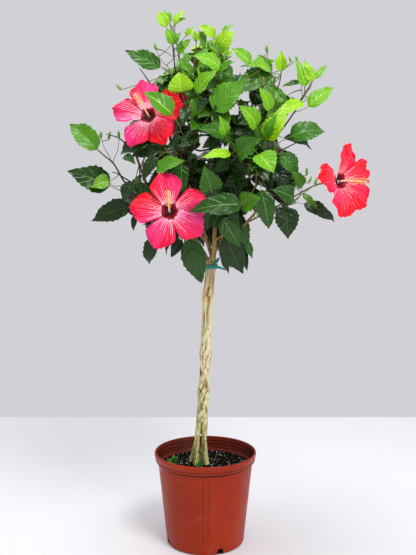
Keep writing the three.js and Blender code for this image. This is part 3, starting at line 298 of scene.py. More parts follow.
# Bare shoots of the photograph from tip to foot, their radii and their kind.
FRONT_TWIGS = [
    ([(229, -60, 1044), (207, -72, 1006), (178, -84, 961), (149, -90, 924), (123, -60, 893)], 1.5, 2.5, 0),
    ([(-234, -50, 901), (-216, -52, 885), (-200, -52, 872), (-178, -54, 835), (-156, -52, 806),
      (-121, -44, 785)], 1.5, 2.6, 0),
    ([(-73, -40, 1155), (-70, -44, 1126), (-64, -46, 1071), (-52, -46, 1024), (-35, -30, 953),
      (-20, -10, 902)], 1.2, 2.5, 0),
    ([(23, -60, 1128), (28, -64, 1099), (25, -60, 1037), (19, -50, 989), (6, -30, 933)], 1.2, 2.3, 0),
    ([(163, -60, 1066), (158, -64, 1038), (141, -66, 998), (122, -60, 942), (109, -40, 896)], 1.2, 2.3, 0),
    ([(-92, -60, 1075), (-69, -56, 1058), (-50, -48, 1023)], 0.9, 1.3, 1),
    ([(-104, -66, 1111), (-94, -62, 1089), (-71, -54, 1065)], 0.6, 0.9, 1),
    ([(18, -140, 1046), (-10, -120, 1018), (-40, -90, 992)], 0.7, 1.0, 2),
    ([(167, -110, 978), (148, -104, 973), (139, -92, 959), (130, -76, 940)], 0.6, 0.9, 2),
    ([(-225, -52, 925), (-219, -52, 906), (-204, -52, 878)], 0.6, 0.9, 1),
    ([(-186, -54, 927), (-189, -52, 900), (-200, -52, 874)], 0.6, 0.8, 1),
    ([(-150, -100, 901), (-140, -90, 866), (-138, -76, 832), (-124, -60, 800)], 1.3, 2.0, 0),
    ([(131, -70, 1112), (133, -72, 1083), (142, -70, 1054), (151, -66, 1025)], 0.6, 1.0, 1),
    ([(203, -66, 1045), (206, -70, 1021), (208, -72, 1006)], 0.6, 0.8, 1),
    ([(212, -66, 1035), (211, -70, 1014), (206, -73, 1004)], 0.6, 0.9, 1),
    ([(-212, -48, 833), (-199, -50, 822), (-181, -52, 822), (-164, -52, 813)], 0.7, 1.0, 1),
    ([(-164, -50, 774), (-147, -50, 781), (-121, -44, 783)], 0.9, 1.3, 0),
]
# Flower buds: foot, tip and radius.
BUDS = [
    ((-225, -52, 925), (-226, -52, 940), 3.6),
    ((-209, -53, 921), (-205, -53, 940), 3.2),
    ((-186, -54, 923), (-187, -54, 941), 3.2),
    ((-104, -66, 1109), (-107, -66, 1123), 3.6),
    ((131, -70, 1104), (131, -70, 1119), 4.0),
    ((183, -66, 1084), (178, -66, 1096), 2.8),
    ((195, -66, 1088), (193, -66, 1097), 2.8),
    ((218, -76, 845), (218, -76, 862), 3.4),
    ((236, -74, 824), (240, -74, 839), 3.4),
    ((223, -74, 828), (229, -74, 843), 2.8),
    ((-179, -70, 1025), (-189, -70, 1037), 3.4),
]

# Where the boughs above the tie show with no leaf in front of them.
BARE_FORK = [(-20, 728), (40, 728), (47, 655), (-8, 655)]
# Seedlings on the soil: place, leaf length and seed.
SEEDLINGS = [(-74, -14, 19, 61), (-14, -34, 13, 62)]
# The grid of the front view: the eye, the plane that it lies in, its cell, corner and count of cells.
VIEW = {
    "eye": (6.2, -1804.0, 802.0), "plane": -100, "cell": 4, "left": -420, "low": 520, "size": 210,
    "fork_back": 60,
}


# ---------------------------------------------------------------- numbers and curves

def seeded(seed):
    """The source's seeded random numbers, the same on every run."""
    mask = 0xFFFFFFFF
    state = seed & mask

    def draw():
        nonlocal state
        state = (state + 0x6D2B79F5) & mask
        t = state
        t = ((t ^ (t >> 15)) * (t | 1)) & mask
        t ^= (t + (((t ^ (t >> 7)) * (t | 61)) & mask)) & mask
        return ((t ^ (t >> 14)) & mask) / 4294967296

    return draw


def lerp(a, b, share):
    return a + (b - a) * share


def unit(v):
    return v / max(np.linalg.norm(v), 1e-9)


def turned(v, axis, angle):
    """v turned about a unit axis."""
    c = math.cos(angle)
    return v * c + np.cross(axis, v) * math.sin(angle) + axis * (axis @ v) * (1 - c)


def lengths_along(points):
    """How far along a line each of its points is."""
    return np.concatenate(([0], np.cumsum(np.linalg.norm(np.diff(points, axis=0), axis=1))))


CURVE_SHARES = np.linspace(0, 1, 201)


class Curve:
    """A smooth curve with even steps along its length, as the source's curves have."""

    def __init__(self, points, bezier=False):
        self.points = np.array(points, float)
        self.bezier = bezier
        self.table = np.array([self.point(t) for t in CURVE_SHARES])
        self.lengths = lengths_along(self.table)
        self.length = self.lengths[-1]

    def point(self, t):
        if self.bezier:
            a, b, c, d = self.points
            s = 1 - t
            return a * s**3 + 3 * b * s * s * t + 3 * c * s * t * t + d * t**3
        p = self.points
        place = (len(p) - 1) * min(max(t, 0), 1)
        i = min(int(place), len(p) - 2)
        w = place - i
        before = p[i - 1] if i > 0 else 2 * p[0] - p[1]
        after = p[i + 2] if i + 2 < len(p) else 2 * p[-1] - p[-2]
        x = [before, p[i], p[i + 1], after]
        gaps = [np.dot(x[k + 1] - x[k], x[k + 1] - x[k]) ** 0.25 for k in range(3)]
        gaps[1] = gaps[1] if gaps[1] > 1e-4 else 1.0
        d0, d1, d2 = (gap if gap > 1e-4 else gaps[1] for gap in gaps)
        t1 = ((x[1] - x[0]) / d0 - (x[2] - x[0]) / (d0 + d1) + (x[2] - x[1]) / d1) * d1
        t2 = ((x[2] - x[1]) / d1 - (x[3] - x[1]) / (d1 + d2) + (x[3] - x[2]) / d2) * d1
        c2 = -3 * x[1] + 3 * x[2] - 2 * t1 - t2
        c3 = 2 * x[1] - 2 * x[2] + t1 + t2
        return x[1] + t1 * w + c2 * w * w + c3 * w**3

    def even(self, share):
        """The curve's own place at a share of its length."""
        return np.interp(share * self.length, self.lengths, CURVE_SHARES)

    def at(self, share):
        return self.point(self.even(share))

    def way(self, share):
        t = self.even(share)
        return unit(self.point(min(t + 1e-4, 1)) - self.point(max(t - 1e-4, 0)))

    def spaced(self, count):
        return np.array([self.at(k / count) for k in range(count + 1)])


# ---------------------------------------------------------------- limbs

class Limb:
    """A limb's line and radii in the solids' own steps, with its smooth curve."""

    def __init__(self, points, radii, curve=None):
        self.points = np.array(points, float)
        self.radii = np.array(radii, float)
        self.curve = curve

    def along(self, share):
        place = share * (len(self.points) - 1)
        i = min(int(place), len(self.points) - 2)
        step = self.points[i + 1] - self.points[i]
        radius = lerp(self.radii[i], self.radii[i + 1], place - i)
        return self.points[i] + step * (place - i), unit(step), radius


class Obstacles:
    """Segments of limbs, for how far points are from the nearest of them."""

    def __init__(self, limbs):
        self.a = np.concatenate([limb.points[:-1] for limb in limbs])
        self.step = np.concatenate([np.diff(limb.points, axis=0) for limb in limbs])
        self.r0 = np.concatenate([limb.radii[:-1] for limb in limbs])
        self.r1 = np.concatenate([limb.radii[1:] for limb in limbs])
        self.square = np.maximum((self.step**2).sum(1), 1e-9)

    def distance(self, points):
        to = points[:, None, :] - self.a[None]
        share = np.clip((to * self.step[None]).sum(2) / self.square, 0, 1)
        gap = np.linalg.norm(to - share[..., None] * self.step[None], axis=2)
        return (gap - (self.r0 + (self.r1 - self.r0) * share)).min(1)


def trunk_middle(z):
    return np.array([np.interp(z, TRUNK_LINE[:, 2], TRUNK_LINE[:, 0]), 0.0, z])


def stem_radius(z):
    flare = max(0, 1 - (z - STEM["foot"]) / STEM["flare_height"])
    share = min((z - STEM["foot"]) / (STEM["tie_height"] - STEM["foot"]), 1)
    above = max(0, z - STEM["tie_height"]) / 80
    plain = lerp(STEM["low"], STEM["high"], share)
    return lerp(plain, STEM["tip"], above) + (STEM["flare"] - STEM["low"]) * flare * flare


def braid_places(step, order, share):
    """Where each strand is at a share of one braid step, in slots from the middle."""
    places = {}
    swing = math.pi * share
    for corner, strand in enumerate(order):
        x, y = CORNERS[corner]
        if step == "turn":
            angle = math.atan2(y, x) + math.pi / 2 * (0.5 - 0.5 * math.cos(swing))
            places[strand] = (math.sqrt(2) * math.cos(angle), math.sqrt(2) * math.sin(angle))
        elif (y < 0) == (step == "front"):
            bulge = 1.72 if x < 0 else -0.3
            places[strand] = (x * math.cos(swing), y * (1 + bulge * math.sin(swing)))
        else:
            places[strand] = (x, y)
    return places


def order_after(step, order):
    a, b, c, d = order
    if step == "turn":
        return [d, a, b, c]
    return [b, a, c, d] if step == "front" else [a, b, d, c]


def stem_lines():
    lines = {name: [TRUNK_LINE[0] + (foot[0], foot[1], CLEAR)] for name, foot, _, _ in STEMS}
    order = [None] * 4
    for name, _, corner, _ in STEMS:
        order[corner] = name
    z = STEM["braid_from"]
    for step in BRAID:
        for k in range(4):
            height = z + STEM["braid_step"] * k / 4
            loose = max(0, (STEM["spread_until"] - height) / (STEM["spread_until"] - STEM["foot"]))
            slot = STEM["slot"] * stem_radius(height) / STEM["low"] * (1 + STEM["spread"] * loose)
            for name, (x, y) in braid_places(step, order, k / 4).items():
                lines[name].append(trunk_middle(height) + (x * slot, y * slot, 0))
        order = order_after(step, order)
        z += STEM["braid_step"]
    for height in (z, STEM["tie_height"] - 6, STEM["tie_height"] + 6):
        slot = STEM["slot"] * stem_radius(height) / STEM["low"]
        for corner, name in enumerate(order):
            x, y = CORNERS[corner]
            lines[name].append(trunk_middle(height) + (x * slot, y * slot, 0))
    for name, _, _, tip in STEMS:
        lines[name].append(np.array(tip, float))
    return lines


def make_limbs():
    """Every stem, bough and bloom stalk by name, on the lines that the solids have."""
    limbs = {}
    for name, line in stem_lines().items():
        curve = Curve(line)
        points = curve.spaced(round(curve.length / 19))
        limbs[name] = Limb(points, [stem_radius(p[2]) for p in points], curve)
    for name, parent, at, end, bow, (r0, r1) in BOUGHS:
        start, way, _ = limbs[parent].along(at)
        end = np.array(end, float)
        if at == 1:
            start = start + way * CLEAR
        span = np.linalg.norm(end - start)
        away = unit((end - start) * (1, 1, 0))
        first = way if at == 1 else unit(lerp(way, away, 0.55))
        late = lerp(start, end, 0.66) + away * bow - UP * span * 0.02
        curve = Curve([start, start + first * span * 0.28, late, end], bezier=True)
        points = curve.spaced(max(5, round(span / 42)))
        limbs[name] = Limb(points, np.linspace(r0, r1, len(points)), curve)
    for name, parent, at, throat, face, *_ in BLOOMS:
        face = unit(np.array(face))
        back = np.array(throat) - face * (BLOOM["calyx"] + BLOOM["neck"])
        root, _, _ = limbs[parent].along(at)
        leave = back - face * BLOOM["lead"]
        curve = Curve([root, lerp(root, leave, 0.5), leave, back])
        points = curve.spaced(6)
        limbs[name + "_stalk"] = Limb(points, [BLOOM["stalk"]] * 7, curve)
    return limbs


# ---------------------------------------------------------------- meshes

class Build:
    """Points and faces of one piece as they are gathered, in millimetres."""

    def __init__(self):
        self.points, self.faces, self.kinds, self.uvs, self.count = [], [], [], [], 0

    def add(self, points, faces, kinds=0, uv=None):
        points = np.asarray(points, float).reshape(-1, 3)
        self.points.append(points)
        self.faces.extend([tuple(corner + self.count for corner in face) for face in faces])
        self.kinds.extend([kinds] * len(faces) if np.isscalar(kinds) else list(kinds))
        self.uvs.append(np.zeros((len(points), 2)) if uv is None else np.asarray(uv, float).reshape(-1, 2))
        self.count += len(points)

    def piece(self, name, materials, smooth=True):
        mesh = bpy.data.meshes.new(name)
        mesh.from_pydata((np.concatenate(self.points) * MM).tolist(), [], self.faces)
        for material in materials:
            mesh.materials.append(material)
        mesh.polygons.foreach_set("material_index", self.kinds)
        mesh.polygons.foreach_set("use_smooth", [smooth] * len(mesh.polygons))
        corners = np.empty(len(mesh.loops), int)
        mesh.loops.foreach_get("vertex_index", corners)
        layer = mesh.uv_layers.new(name="pattern")
        layer.data.foreach_set("uv", np.concatenate(self.uvs)[corners].ravel())
        mesh.update()
        obj = bpy.data.objects.new(name, mesh)
        bpy.context.scene.collection.objects.link(obj)
        return obj


def grid_faces(rows, columns, closed=False):
    """Quads between rows of points; closed joins the last column to the first."""
    faces = []
    for i in range(rows - 1):
        for j in range(columns if closed else columns - 1):
            k = (j + 1) % columns
            faces.append((i * columns + j, i * columns + k, (i + 1) * columns + k, (i + 1) * columns + j))
    return faces


def paired(*parts):
    """Arrays spread to one shape and laid side by side in a last axis."""
    return np.stack(np.broadcast_arrays(*parts), -1)


def frames(points):
    """Two directions across each point of a line, which don't twist along it."""
    ways = np.gradient(points, axis=0)
    ways /= np.maximum(np.linalg.norm(ways, axis=1), 1e-9)[:, None]
    across = unit(np.cross((1, 0.21, 0.13), ways[0]))
    firsts = []
    for way in ways:
        across = unit(across - way * (across @ way))
        firsts.append(across)
    firsts = np.array(firsts)
    return firsts, np.cross(ways, firsts)


def tube(build, points, radii, sides, kind=0, relief=None):
    """A closed tube with flat ends along points, with an optional relief of its radius."""
    points = np.asarray(points, float)
    radii = np.asarray(radii, float)
    first, second = frames(points)
    angles = np.arange(sides) * 2 * math.pi / sides
    around = np.cos(angles)[None, :, None] * first[:, None] + np.sin(angles)[None, :, None] * second[:, None]
    grown = np.repeat(radii[:, None], sides, 1)
    if relief is not None:
        grown = grown * relief
    rings = points[:, None] + around * grown[..., None]
    lengths = lengths_along(points)
    uv = paired(np.arange(sides)[None] / sides, lengths[:, None] / 100)
    faces = grid_faces(len(points), sides, closed=True)
    ends = [points[0], points[-1]]
    count = len(points) * sides
    last = count - sides
    faces += [(count, (k + 1) % sides, k) for k in range(sides)]
    faces += [(count + 1, last + k, last + (k + 1) % sides) for k in range(sides)]
    build.add(np.concatenate([rings.reshape(-1, 3), ends]), faces, kind,
              np.concatenate([uv.reshape(-1, 2), [(0, 0), (0, lengths[-1] / 100)]]))


# ---------------------------------------------------------------- leaves

LEAF_SHARES = np.linspace(0, 1, LEAF_ROWS + 1)
LEAF_OUTLINE = np.interp(
    LEAF_SHARES,
    (0, 0.04, 0.12, 0.24, 0.34, 0.46, 0.58, 0.7, 0.8, 0.9, 0.96, 1),
    (0.08, 0.46, 0.8, 0.98, 1, 0.93, 0.78, 0.57, 0.37, 0.17, 0.07, 0.005),
)
TEETH = np.where(np.arange(LEAF_ROWS + 1) % 2 == 0, 0.95, 1.06)
TEETH[:4] = 1
MIDRIB_STRIP = 3
LEAF_FACES = grid_faces(LEAF_ROWS + 1, len(LEAF_ACROSS))
LEAF_STRIPS = np.tile(np.arange(len(LEAF_ACROSS) - 1), LEAF_ROWS)
LEAF_UV = paired(LEAF_ACROSS[None] * 0.5 + 0.5, LEAF_SHARES[:, None]).reshape(-1, 2)
LEAF_WAVE = {"turns": 14, "high": 0.024, "cup": 0.1}


def leaf_points(base, way, face, length, bend, fold, ripple, half_width=LEAF["half_width"]):
    """The blade's grid of points, from its foot to its tip, after its petiole."""
    blade = length * (1 - LEAF["petiole"])
    side = np.cross(face, way)
    angle = bend * (0.5 - LEAF_SHARES)
    steps = np.cos(angle)[:, None] * way + np.sin(angle)[:, None] * face
    middles = np.cumsum((steps[1:] + steps[:-1]) / 2, axis=0)
    line = np.concatenate(([np.zeros(3)], middles)) * blade / LEAF_ROWS
    line += base + way * length * LEAF["petiole"]
    normals = np.cos(angle)[:, None] * face - np.sin(angle)[:, None] * way
    half = blade * half_width * LEAF_OUTLINE
    out = LEAF_ACROSS[None] * half[:, None] * np.where(np.abs(LEAF_ACROSS)[None] > 0.99, TEETH[:, None], 1)
    rim = np.abs(LEAF_ACROSS)[None] ** 2
    wave = np.sin(LEAF_SHARES * LEAF_WAVE["turns"] + ripple)[:, None] * rim * blade * LEAF_WAVE["high"]
    rise = np.abs(out) * fold - LEAF_WAVE["cup"] * rim * half[:, None] + wave
    return line[:, None] + out[..., None] * side + rise[..., None] * normals[:, None]


def leaf_wings(grid):
    """Four flat triangles and six edges that stand for a leaf where leaves are kept from crossing."""
    middle = LEAF_ROWS // 3 + 1
    root, tip, mid = grid[0, 3], grid[-1, 3], grid[middle, 3]
    left, right = grid[middle, 0], grid[middle, -1]
    triangles = np.array([(root, left, mid), (root, mid, right), (left, tip, mid), (mid, tip, right)])
    edges = np.array([(root, left), (left, tip), (tip, right), (right, root), (root, mid), (mid, tip)])
    return triangles, edges


def edges_cross(edges, triangles):
    """Whether any edge passes through any triangle."""
    start = edges[:, None, 0]
    way = edges[:, None, 1] - start
    p = triangles[None, :, 0]
    u, v = triangles[None, :, 1] - p, triangles[None, :, 2] - p
    h = np.cross(way, v)
    det = (u * h).sum(-1)
    det = np.where(np.abs(det) < 1e-9, 1e-9, det)
    s = start - p
    a = (s * h).sum(-1) / det
    q = np.cross(s, u)
    b = (way * q).sum(-1) / det
    t = (v * q).sum(-1) / det
    return bool(((a > 0) & (b > 0) & (a + b < 1) & (t > 0) & (t < 1)).any())


# ---------------------------------------------------------------- the crown's rule

HEARTS = np.array([row[2] for row in MASSES], float)
GAPS = np.linalg.norm(HEARTS[:, None] - HEARTS[None], axis=2)


def in_own_space(points, index, clear):
    squares = ((points[:, None] - HEARTS[None]) ** 2).sum(2)
    others = np.arange(len(HEARTS)) != index
    slack = (squares[:, others] - squares[:, index:index + 1]) / (2 * GAPS[index, others])
    return bool((slack > clear).all())


BLOOM_SPACE = {"back": -24, "front": 34, "column": (74, 22), "neck": (-60, 14), "air": (190, 0.8)}


def in_bloom_space(points, clear):
    """Whether a point is in a bloom's dish, its column or tube, or the open air that it faces."""
    space = BLOOM_SPACE
    for _, _, _, throat, face, radius, *_ in BLOOMS:
        face = unit(np.array(face))
        offset = points - np.array(throat)
        high = offset @ face
        out = np.linalg.norm(offset - high[:, None] * face, axis=1)
        dish = (high > space["back"] - clear) & (high < space["front"] + clear) & (out < radius + clear)
        column = (high > 0) & (high < space["column"][0] + clear) & (out < space["column"][1] + clear)
        neck = (high > space["neck"][0] - clear) & (high <= 0) & (out < space["neck"][1] + clear)
        air = (high > 0) & (high < space["air"][0]) & (out < radius * space["air"][1])
        if (dish | column | neck | air).any():
            return True
    return False


def inside(outline, across, high):
    """Which places lie inside a closed outline."""
    hit = np.zeros(np.shape(across), bool)
    for (x0, z0), (x1, z1) in zip(outline, outline[1:] + outline[:1]):
        if z0 != z1:
            spans = (z0 > high) != (z1 > high)
            hit ^= spans & (across < (x1 - x0) * (high - z0) / (z1 - z0) + x0)
    return hit


class Sight:
    """How near to the eye leaves may stand at each place of the view, so that it opens where it should."""

    def __init__(self):
        size, cell = VIEW["size"], VIEW["cell"]
        across, high = np.meshgrid(VIEW["left"] + cell * (np.arange(size) + 0.5),
                                   VIEW["low"] + cell * (np.arange(size) + 0.5), indexing="ij")
        self.nearest = np.where(inside(CROWN_OUTLINE, across, high), -1e6, 1e6)
        for x, z, radius in SKY:
            self.nearest[np.hypot(across - x, high - z) < radius] = 1e6
        fork = inside(BARE_FORK, across, high) & (self.nearest < 0)
        self.nearest[fork] = VIEW["fork_back"]

    def cells(self, points):
        x, y, z = VIEW["eye"]
        scale = (VIEW["plane"] - y) / (points[:, 1] - y)
        across = x + (points[:, 0] - x) * scale - VIEW["left"]
        high = z + (points[:, 2] - z) * scale - VIEW["low"]
        places = np.stack((across, high), 1) / VIEW["cell"]
        return tuple(np.clip(places.astype(int), 0, VIEW["size"] - 1).T)

    def free(self, points):
        return bool((points[:, 1] > self.nearest[self.cells(points)]).all())

    def cover(self, points):
        cells = self.cells(points)
        np.maximum.at(self.nearest, cells, points[:, 1])


def front_leaves():
    """The leaves that stand as the photograph shows them."""
    random = seeded(4242)
    leaves = []
    for foot, tip, half, age_and_shade in FRONT_LEAVES:
        foot, tip = np.array(foot, float), np.array(tip, float)
        way = unit(tip - foot)
        bend = lerp(*LEAF["bend"], random())
        blade = np.linalg.norm(tip - foot) * bend / 2 / math.sin(bend / 2)
        length = blade / (1 - LEAF["petiole"])
        base = foot - way * (length - blade)
        jitter = np.array((random() - 0.5, 0, random() - 0.5)) * 0.7
        facing = LIGHT + UP * 0.3 + jitter + unit(base - CROWN_MIDDLE) * 0.25
        facing = unit(facing - way * (facing @ way))
        fold = LEAF["fold"] * (0.6 + random())
        grid = leaf_points(base, way, facing, length, bend, fold, random() * 6, half)
        triangles, edges = leaf_wings(grid)
        leaves.append({"grid": grid, "triangles": triangles, "edges": edges, "base": base, "way": way,
                       "centre": triangles.reshape(-1, 3).mean(0), "length": length, "age_and_shade": age_and_shade})
    return leaves


class Foliage:
    """Every leaf of the crown, so that no two cross."""

    MOST = 20000

    def __init__(self):
        self.leaves, self.centres = [], np.empty((self.MOST, 3))

    def add(self, leaf):
        self.centres[len(self.leaves)] = leaf["centre"]
        self.leaves.append(leaf)

    def crosses(self, triangles, edges, centre, reach):
        far = np.linalg.norm(self.centres[:len(self.leaves)] - centre, axis=1)
        near = [self.leaves[k] for k in np.flatnonzero(far < reach)]
        if not near:
            return False
        return (edges_cross(edges, np.concatenate([other["triangles"] for other in near]))
                or edges_cross(np.concatenate([other["edges"] for other in near]), triangles))


class Crown:
    """Shoots and leaves of one mass, grown by the source's rule and carried to finer twigs."""

    def __init__(self, row, index, limbs, sight, foliage):
        self.name, bough, heart, tip, self.leaf, self.shoot_count, self.reach, seed = row
        self.index, self.sight, self.foliage = index, sight, foliage
        low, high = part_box(self.name)
        low = np.array(low) / MM - LEAF["box_over"]
        high = np.array(high) / MM + LEAF["box_over"]
        self.low = np.minimum(low, lerp(low, CROWN_MIDDLE, LEAF["inward"]))
        self.high = np.maximum(high, lerp(high, CROWN_MIDDLE, LEAF["inward"]))
        self.random = seeded(seed * 7919)
        self.bough = limbs[bough]
        self.others = Obstacles([limb for name, limb in limbs.items() if name != bough])
        self.own_bough = Obstacles([self.bough])
        self.heart, self.tip = np.array(heart, float), np.array(tip, float)
        self.shoots, self.leaves = [], []
        self.grow_shoots()

    def fits(self, points, clear, space):
        return (bool(((points > self.low) & (points < self.high)).all()) and self.sight.free(points)
                and in_own_space(points, self.index, space) and not in_bloom_space(points, clear)
                and bool((self.others.distance(points) > clear).all()))

    def meet(self, crowns):
        """Takes note of the shoots, its own and its neighbours', that leaves must stay clear of."""
        near = []
        for crown in crowns:
            for shoot in crown.shoots:
                ends = shoot["points"]
                if crown is self or ((ends.max(0) > self.low) & (ends.min(0) < self.high)).all():
                    near.append(Limb(ends, shoot["radii"]))
        self.obstacles = Obstacles(near)

    def add_shoot(self, points, radii, size, first_leaf, rank):
        self.shoots.append({"points": np.array(points), "radii": np.array(radii), "size": size,
                            "first": first_leaf, "turn": self.random() * 6, "rank": rank})

    def grow_shoots(self):
        end, end_way, _ = self.bough.along(1)
        start = end - end_way
        outward = unit(self.tip - self.heart)
        shoot_tip = self.tip - outward * self.leaf * SHOOT["tip_leaf"]
        middle = lerp(start, self.heart, 0.5) + end_way * 4
        spine = Curve([start, middle, self.heart, shoot_tip])
        points = spine.spaced(SHOOT["spine_steps"] * 4)
        seen = [self.sight.free(points[k:k + 1] + (0, 400, 0)) for k in range(len(points))]
        points = points[:max(3, len(points) - seen[::-1].index(True) if True in seen else 3)]
        spine = Curve(points)
        radii = np.linspace(SHOOT["stem"], SHOOT["tip"], len(points))
        self.add_shoot(points, radii, 1, SHOOT["first_leaf"] + 6, 0)
        for k in range(self.shoot_count):
            share = lerp(0.2, 0.85, (k + 0.5 * self.random()) / self.shoot_count)
            self.side_shoot(spine.at(share), spine.way(share), k, self.reach, SHOOT["apart"], 1)
        for k in range(SHOOT["on_bough"]):
            share = lerp(0.4, 0.98, (k + self.random()) / SHOOT["on_bough"])
            root, way, _ = self.bough.along(share)
            self.side_shoot(root, way, k + 0.3, self.reach * 0.9, SHOOT["apart"], 1)
        for shoot in list(self.shoots[1:]):
            self.fine_shoots(shoot)
        fine = self.shoot_count + 3
        for k in range(fine):
            share = lerp(0.16, 0.96, (k + self.random()) / fine)
            root, way = spine.at(share), spine.way(share)
            self.side_shoot(root, way, k + 0.5, self.reach * 0.8, SHOOT["fine_apart"], 2)

    def side_shoot(self, root, way, k, span, apart, rank):
        across = unit(np.cross((0.2, 1, 0.3), way))
        spin = GOLDEN * k + self.random() * 0.7
        opening = math.radians(lerp(*SHOOT["opening"], self.random()))
        aim = way * math.cos(opening) + turned(across, way, spin) * math.sin(opening)
        aim = unit(aim + unit(root - CROWN_MIDDLE) * SHOOT["outward"])
        full = span * (0.62 + 0.38 * self.random())
        for scale in SHOOT["tries"]:
            reach = full * scale - self.leaf * 0.3
            far = root + aim * reach
            if reach < SHOOT["shortest"]:
                continue
            taken = Obstacles([Limb(s["points"], s["radii"]) for s in self.shoots])
            steps = np.array([lerp(root, far, t) for t in SHOOT["tested"]])
            clear = taken.distance(far[None])[0] > apart
            if clear and self.fits(steps, SHOOT["limb_clear"], LEAF["cell_clear"]):
                foot = SHOOT["side"] if rank == 1 else SHOOT["fine"]
                self.add_shoot([root, far], (foot, SHOOT["tip"]), 0.95, SHOOT["first_leaf"], rank)
                return

    def fine_shoots(self, shoot):
        a, b = shoot["points"][0], shoot["points"][-1]
        way = unit(b - a)
        for k, share in enumerate((0.45, 0.75)):
            self.side_shoot(lerp(a, b, share), way, k + 1.5, self.reach * 0.7, SHOOT["fine_apart"], 2)

    def grow_leaves(self):
        step = self.leaf * SHOOT["leaf_every"]
        for shoot in self.shoots:
            curve = Curve(shoot["points"])
            count = max(1, int((curve.length - shoot["first"]) / step))
            azimuth = shoot["turn"]
            for share in (1, 0.8):
                if self.add_leaf(curve.at(1), curve.way(1), self.leaf * SHOOT["tip_leaf"] * share, 1.0):
                    break
            for k in range(count + 1):
                share = min(0.97, (shoot["first"] + k * step) / curve.length)
                azimuth += GOLDEN
                self.try_leaf(curve.at(share), curve.way(share), share, azimuth, shoot["size"])

    def fill_leaves(self):
        """Leaves on short spurs wherever a shoot still has room beside it."""
        curves = [Curve(shoot["points"]) for shoot in self.shoots]
        for _ in range(LEAF["filler"]):
            curve = curves[int(self.random() * len(curves))]
            share = lerp(0.08, 1, self.random())
            along = curve.way(share)
            radial = turned(unit(np.cross((0.3, 0.2, 1), along)), along, self.random() * 6.3)
            base = curve.at(share)
            way = unit(radial + along * lerp(0.1, 0.9, self.random()) - UP * lerp(0, 0.5, self.random()))
            self.add_leaf(base, way, self.leaf * lerp(*LEAF["filler_size"], self.random()), share)

    def try_leaf(self, base, way, share, azimuth, size):
        jitter = (self.random() - 0.5) * 0.5
        across = unit(np.cross((0.3, 0.2, 1), way))
        young = 0.8 if share > 0.72 else 1
        full = self.leaf * size * young * (0.86 + 0.2 * self.random())
        for attempt, shrink in enumerate(SHRINK):
            radial = turned(across, way, azimuth + jitter + attempt * 0.7)
            opening = math.radians(lerp(68, 42, share))
            leaf_way = way * math.cos(opening) + radial * math.sin(opening)
            high = min(max((base[2] - 780) / 300, 0), 1)
            leaf_way = unit(leaf_way - UP * lerp(*LEAF["droop"], share) * lerp(1.3, 0.3, high))
            if self.add_leaf(base, leaf_way, full * shrink, share):
                return

    def add_leaf(self, base, way, length, share):
        out = unit(base - CROWN_MIDDLE) * (1, 1, 0.4)
        facing = UP * LEAF["face_up"] + out * LEAF["face_out"] + LIGHT * LEAF["face_light"]
        facing = unit(facing - way * (facing @ way))
        bend = lerp(*LEAF["bend"], self.random())
        fold = LEAF["fold"] * (0.5 + self.random())
        ripple = self.random() * 6
        grid = leaf_points(base, way, facing, length, bend, fold, ripple)
        samples = grid[::2, (0, 2, 5, 7)].reshape(-1, 3)
        if not self.fits(samples, LEAF["limb_clear"], LEAF["cell_over"]):
            return False
        if (self.own_bough.distance(samples) < LEAF["bough_clear"]).any():
            return False
        free = samples[np.linalg.norm(samples - base, axis=1) > SHOOT["foot"]]
        if len(free) and (self.obstacles.distance(free) < LEAF["shoot_clear"]).any():
            return False
        triangles, edges = leaf_wings(grid)
        centre = triangles.reshape(-1, 3).mean(0)
        if self.foliage.crosses(triangles, edges, centre, LEAF["cross_reach"]):
            return False
        leaf = {"grid": grid, "triangles": triangles, "edges": edges, "centre": centre, "base": base,
                "way": way, "length": length, "share": share, "chance": self.random()}
        self.leaves.append(leaf)
        self.foliage.add(leaf)
        return True


def leaf_age_and_shade(leaf):
    """From 0, the brightest leaf, to 1, the darkest: partly age, new leaves being near tips, and partly
    painted light and shade, leaves high and outer lit bright and low, inner ones shaded dark.
    """
    if "age_and_shade" in leaf:
        return leaf["age_and_shade"]
    centre = leaf["centre"]
    # Height and outerness paint light on the crown's top and outside and shade low and inside it; share along
    # the shoot and chance stand for age.
    high = np.clip((centre[2] - 780) / 320, 0, 1)
    outer = np.clip((np.linalg.norm((centre - CROWN_MIDDLE) * (1, 1, 0.9)) - 120) / 190, 0, 1)
    young = 0.6 * high + 0.22 * outer + 0.18 * leaf["share"] ** 2 + 0.25 * (leaf["chance"] - 0.5)
    return float(np.clip(1 - young, 0, 0.999))


# ---------------------------------------------------------------- materials

def rgb(red, green, blue):
    """A colour as it shows, 0 to 255, as the linear colour that shaders use."""
    shown = (red, green, blue)
    return tuple(((c / 255 + 0.055) / 1.055) ** 2.4 if c > 10 else c / 3294.6 for c in shown) + (1,)


BLACK, WHITE = (0, 0, 0, 1), (1, 1, 1, 1)


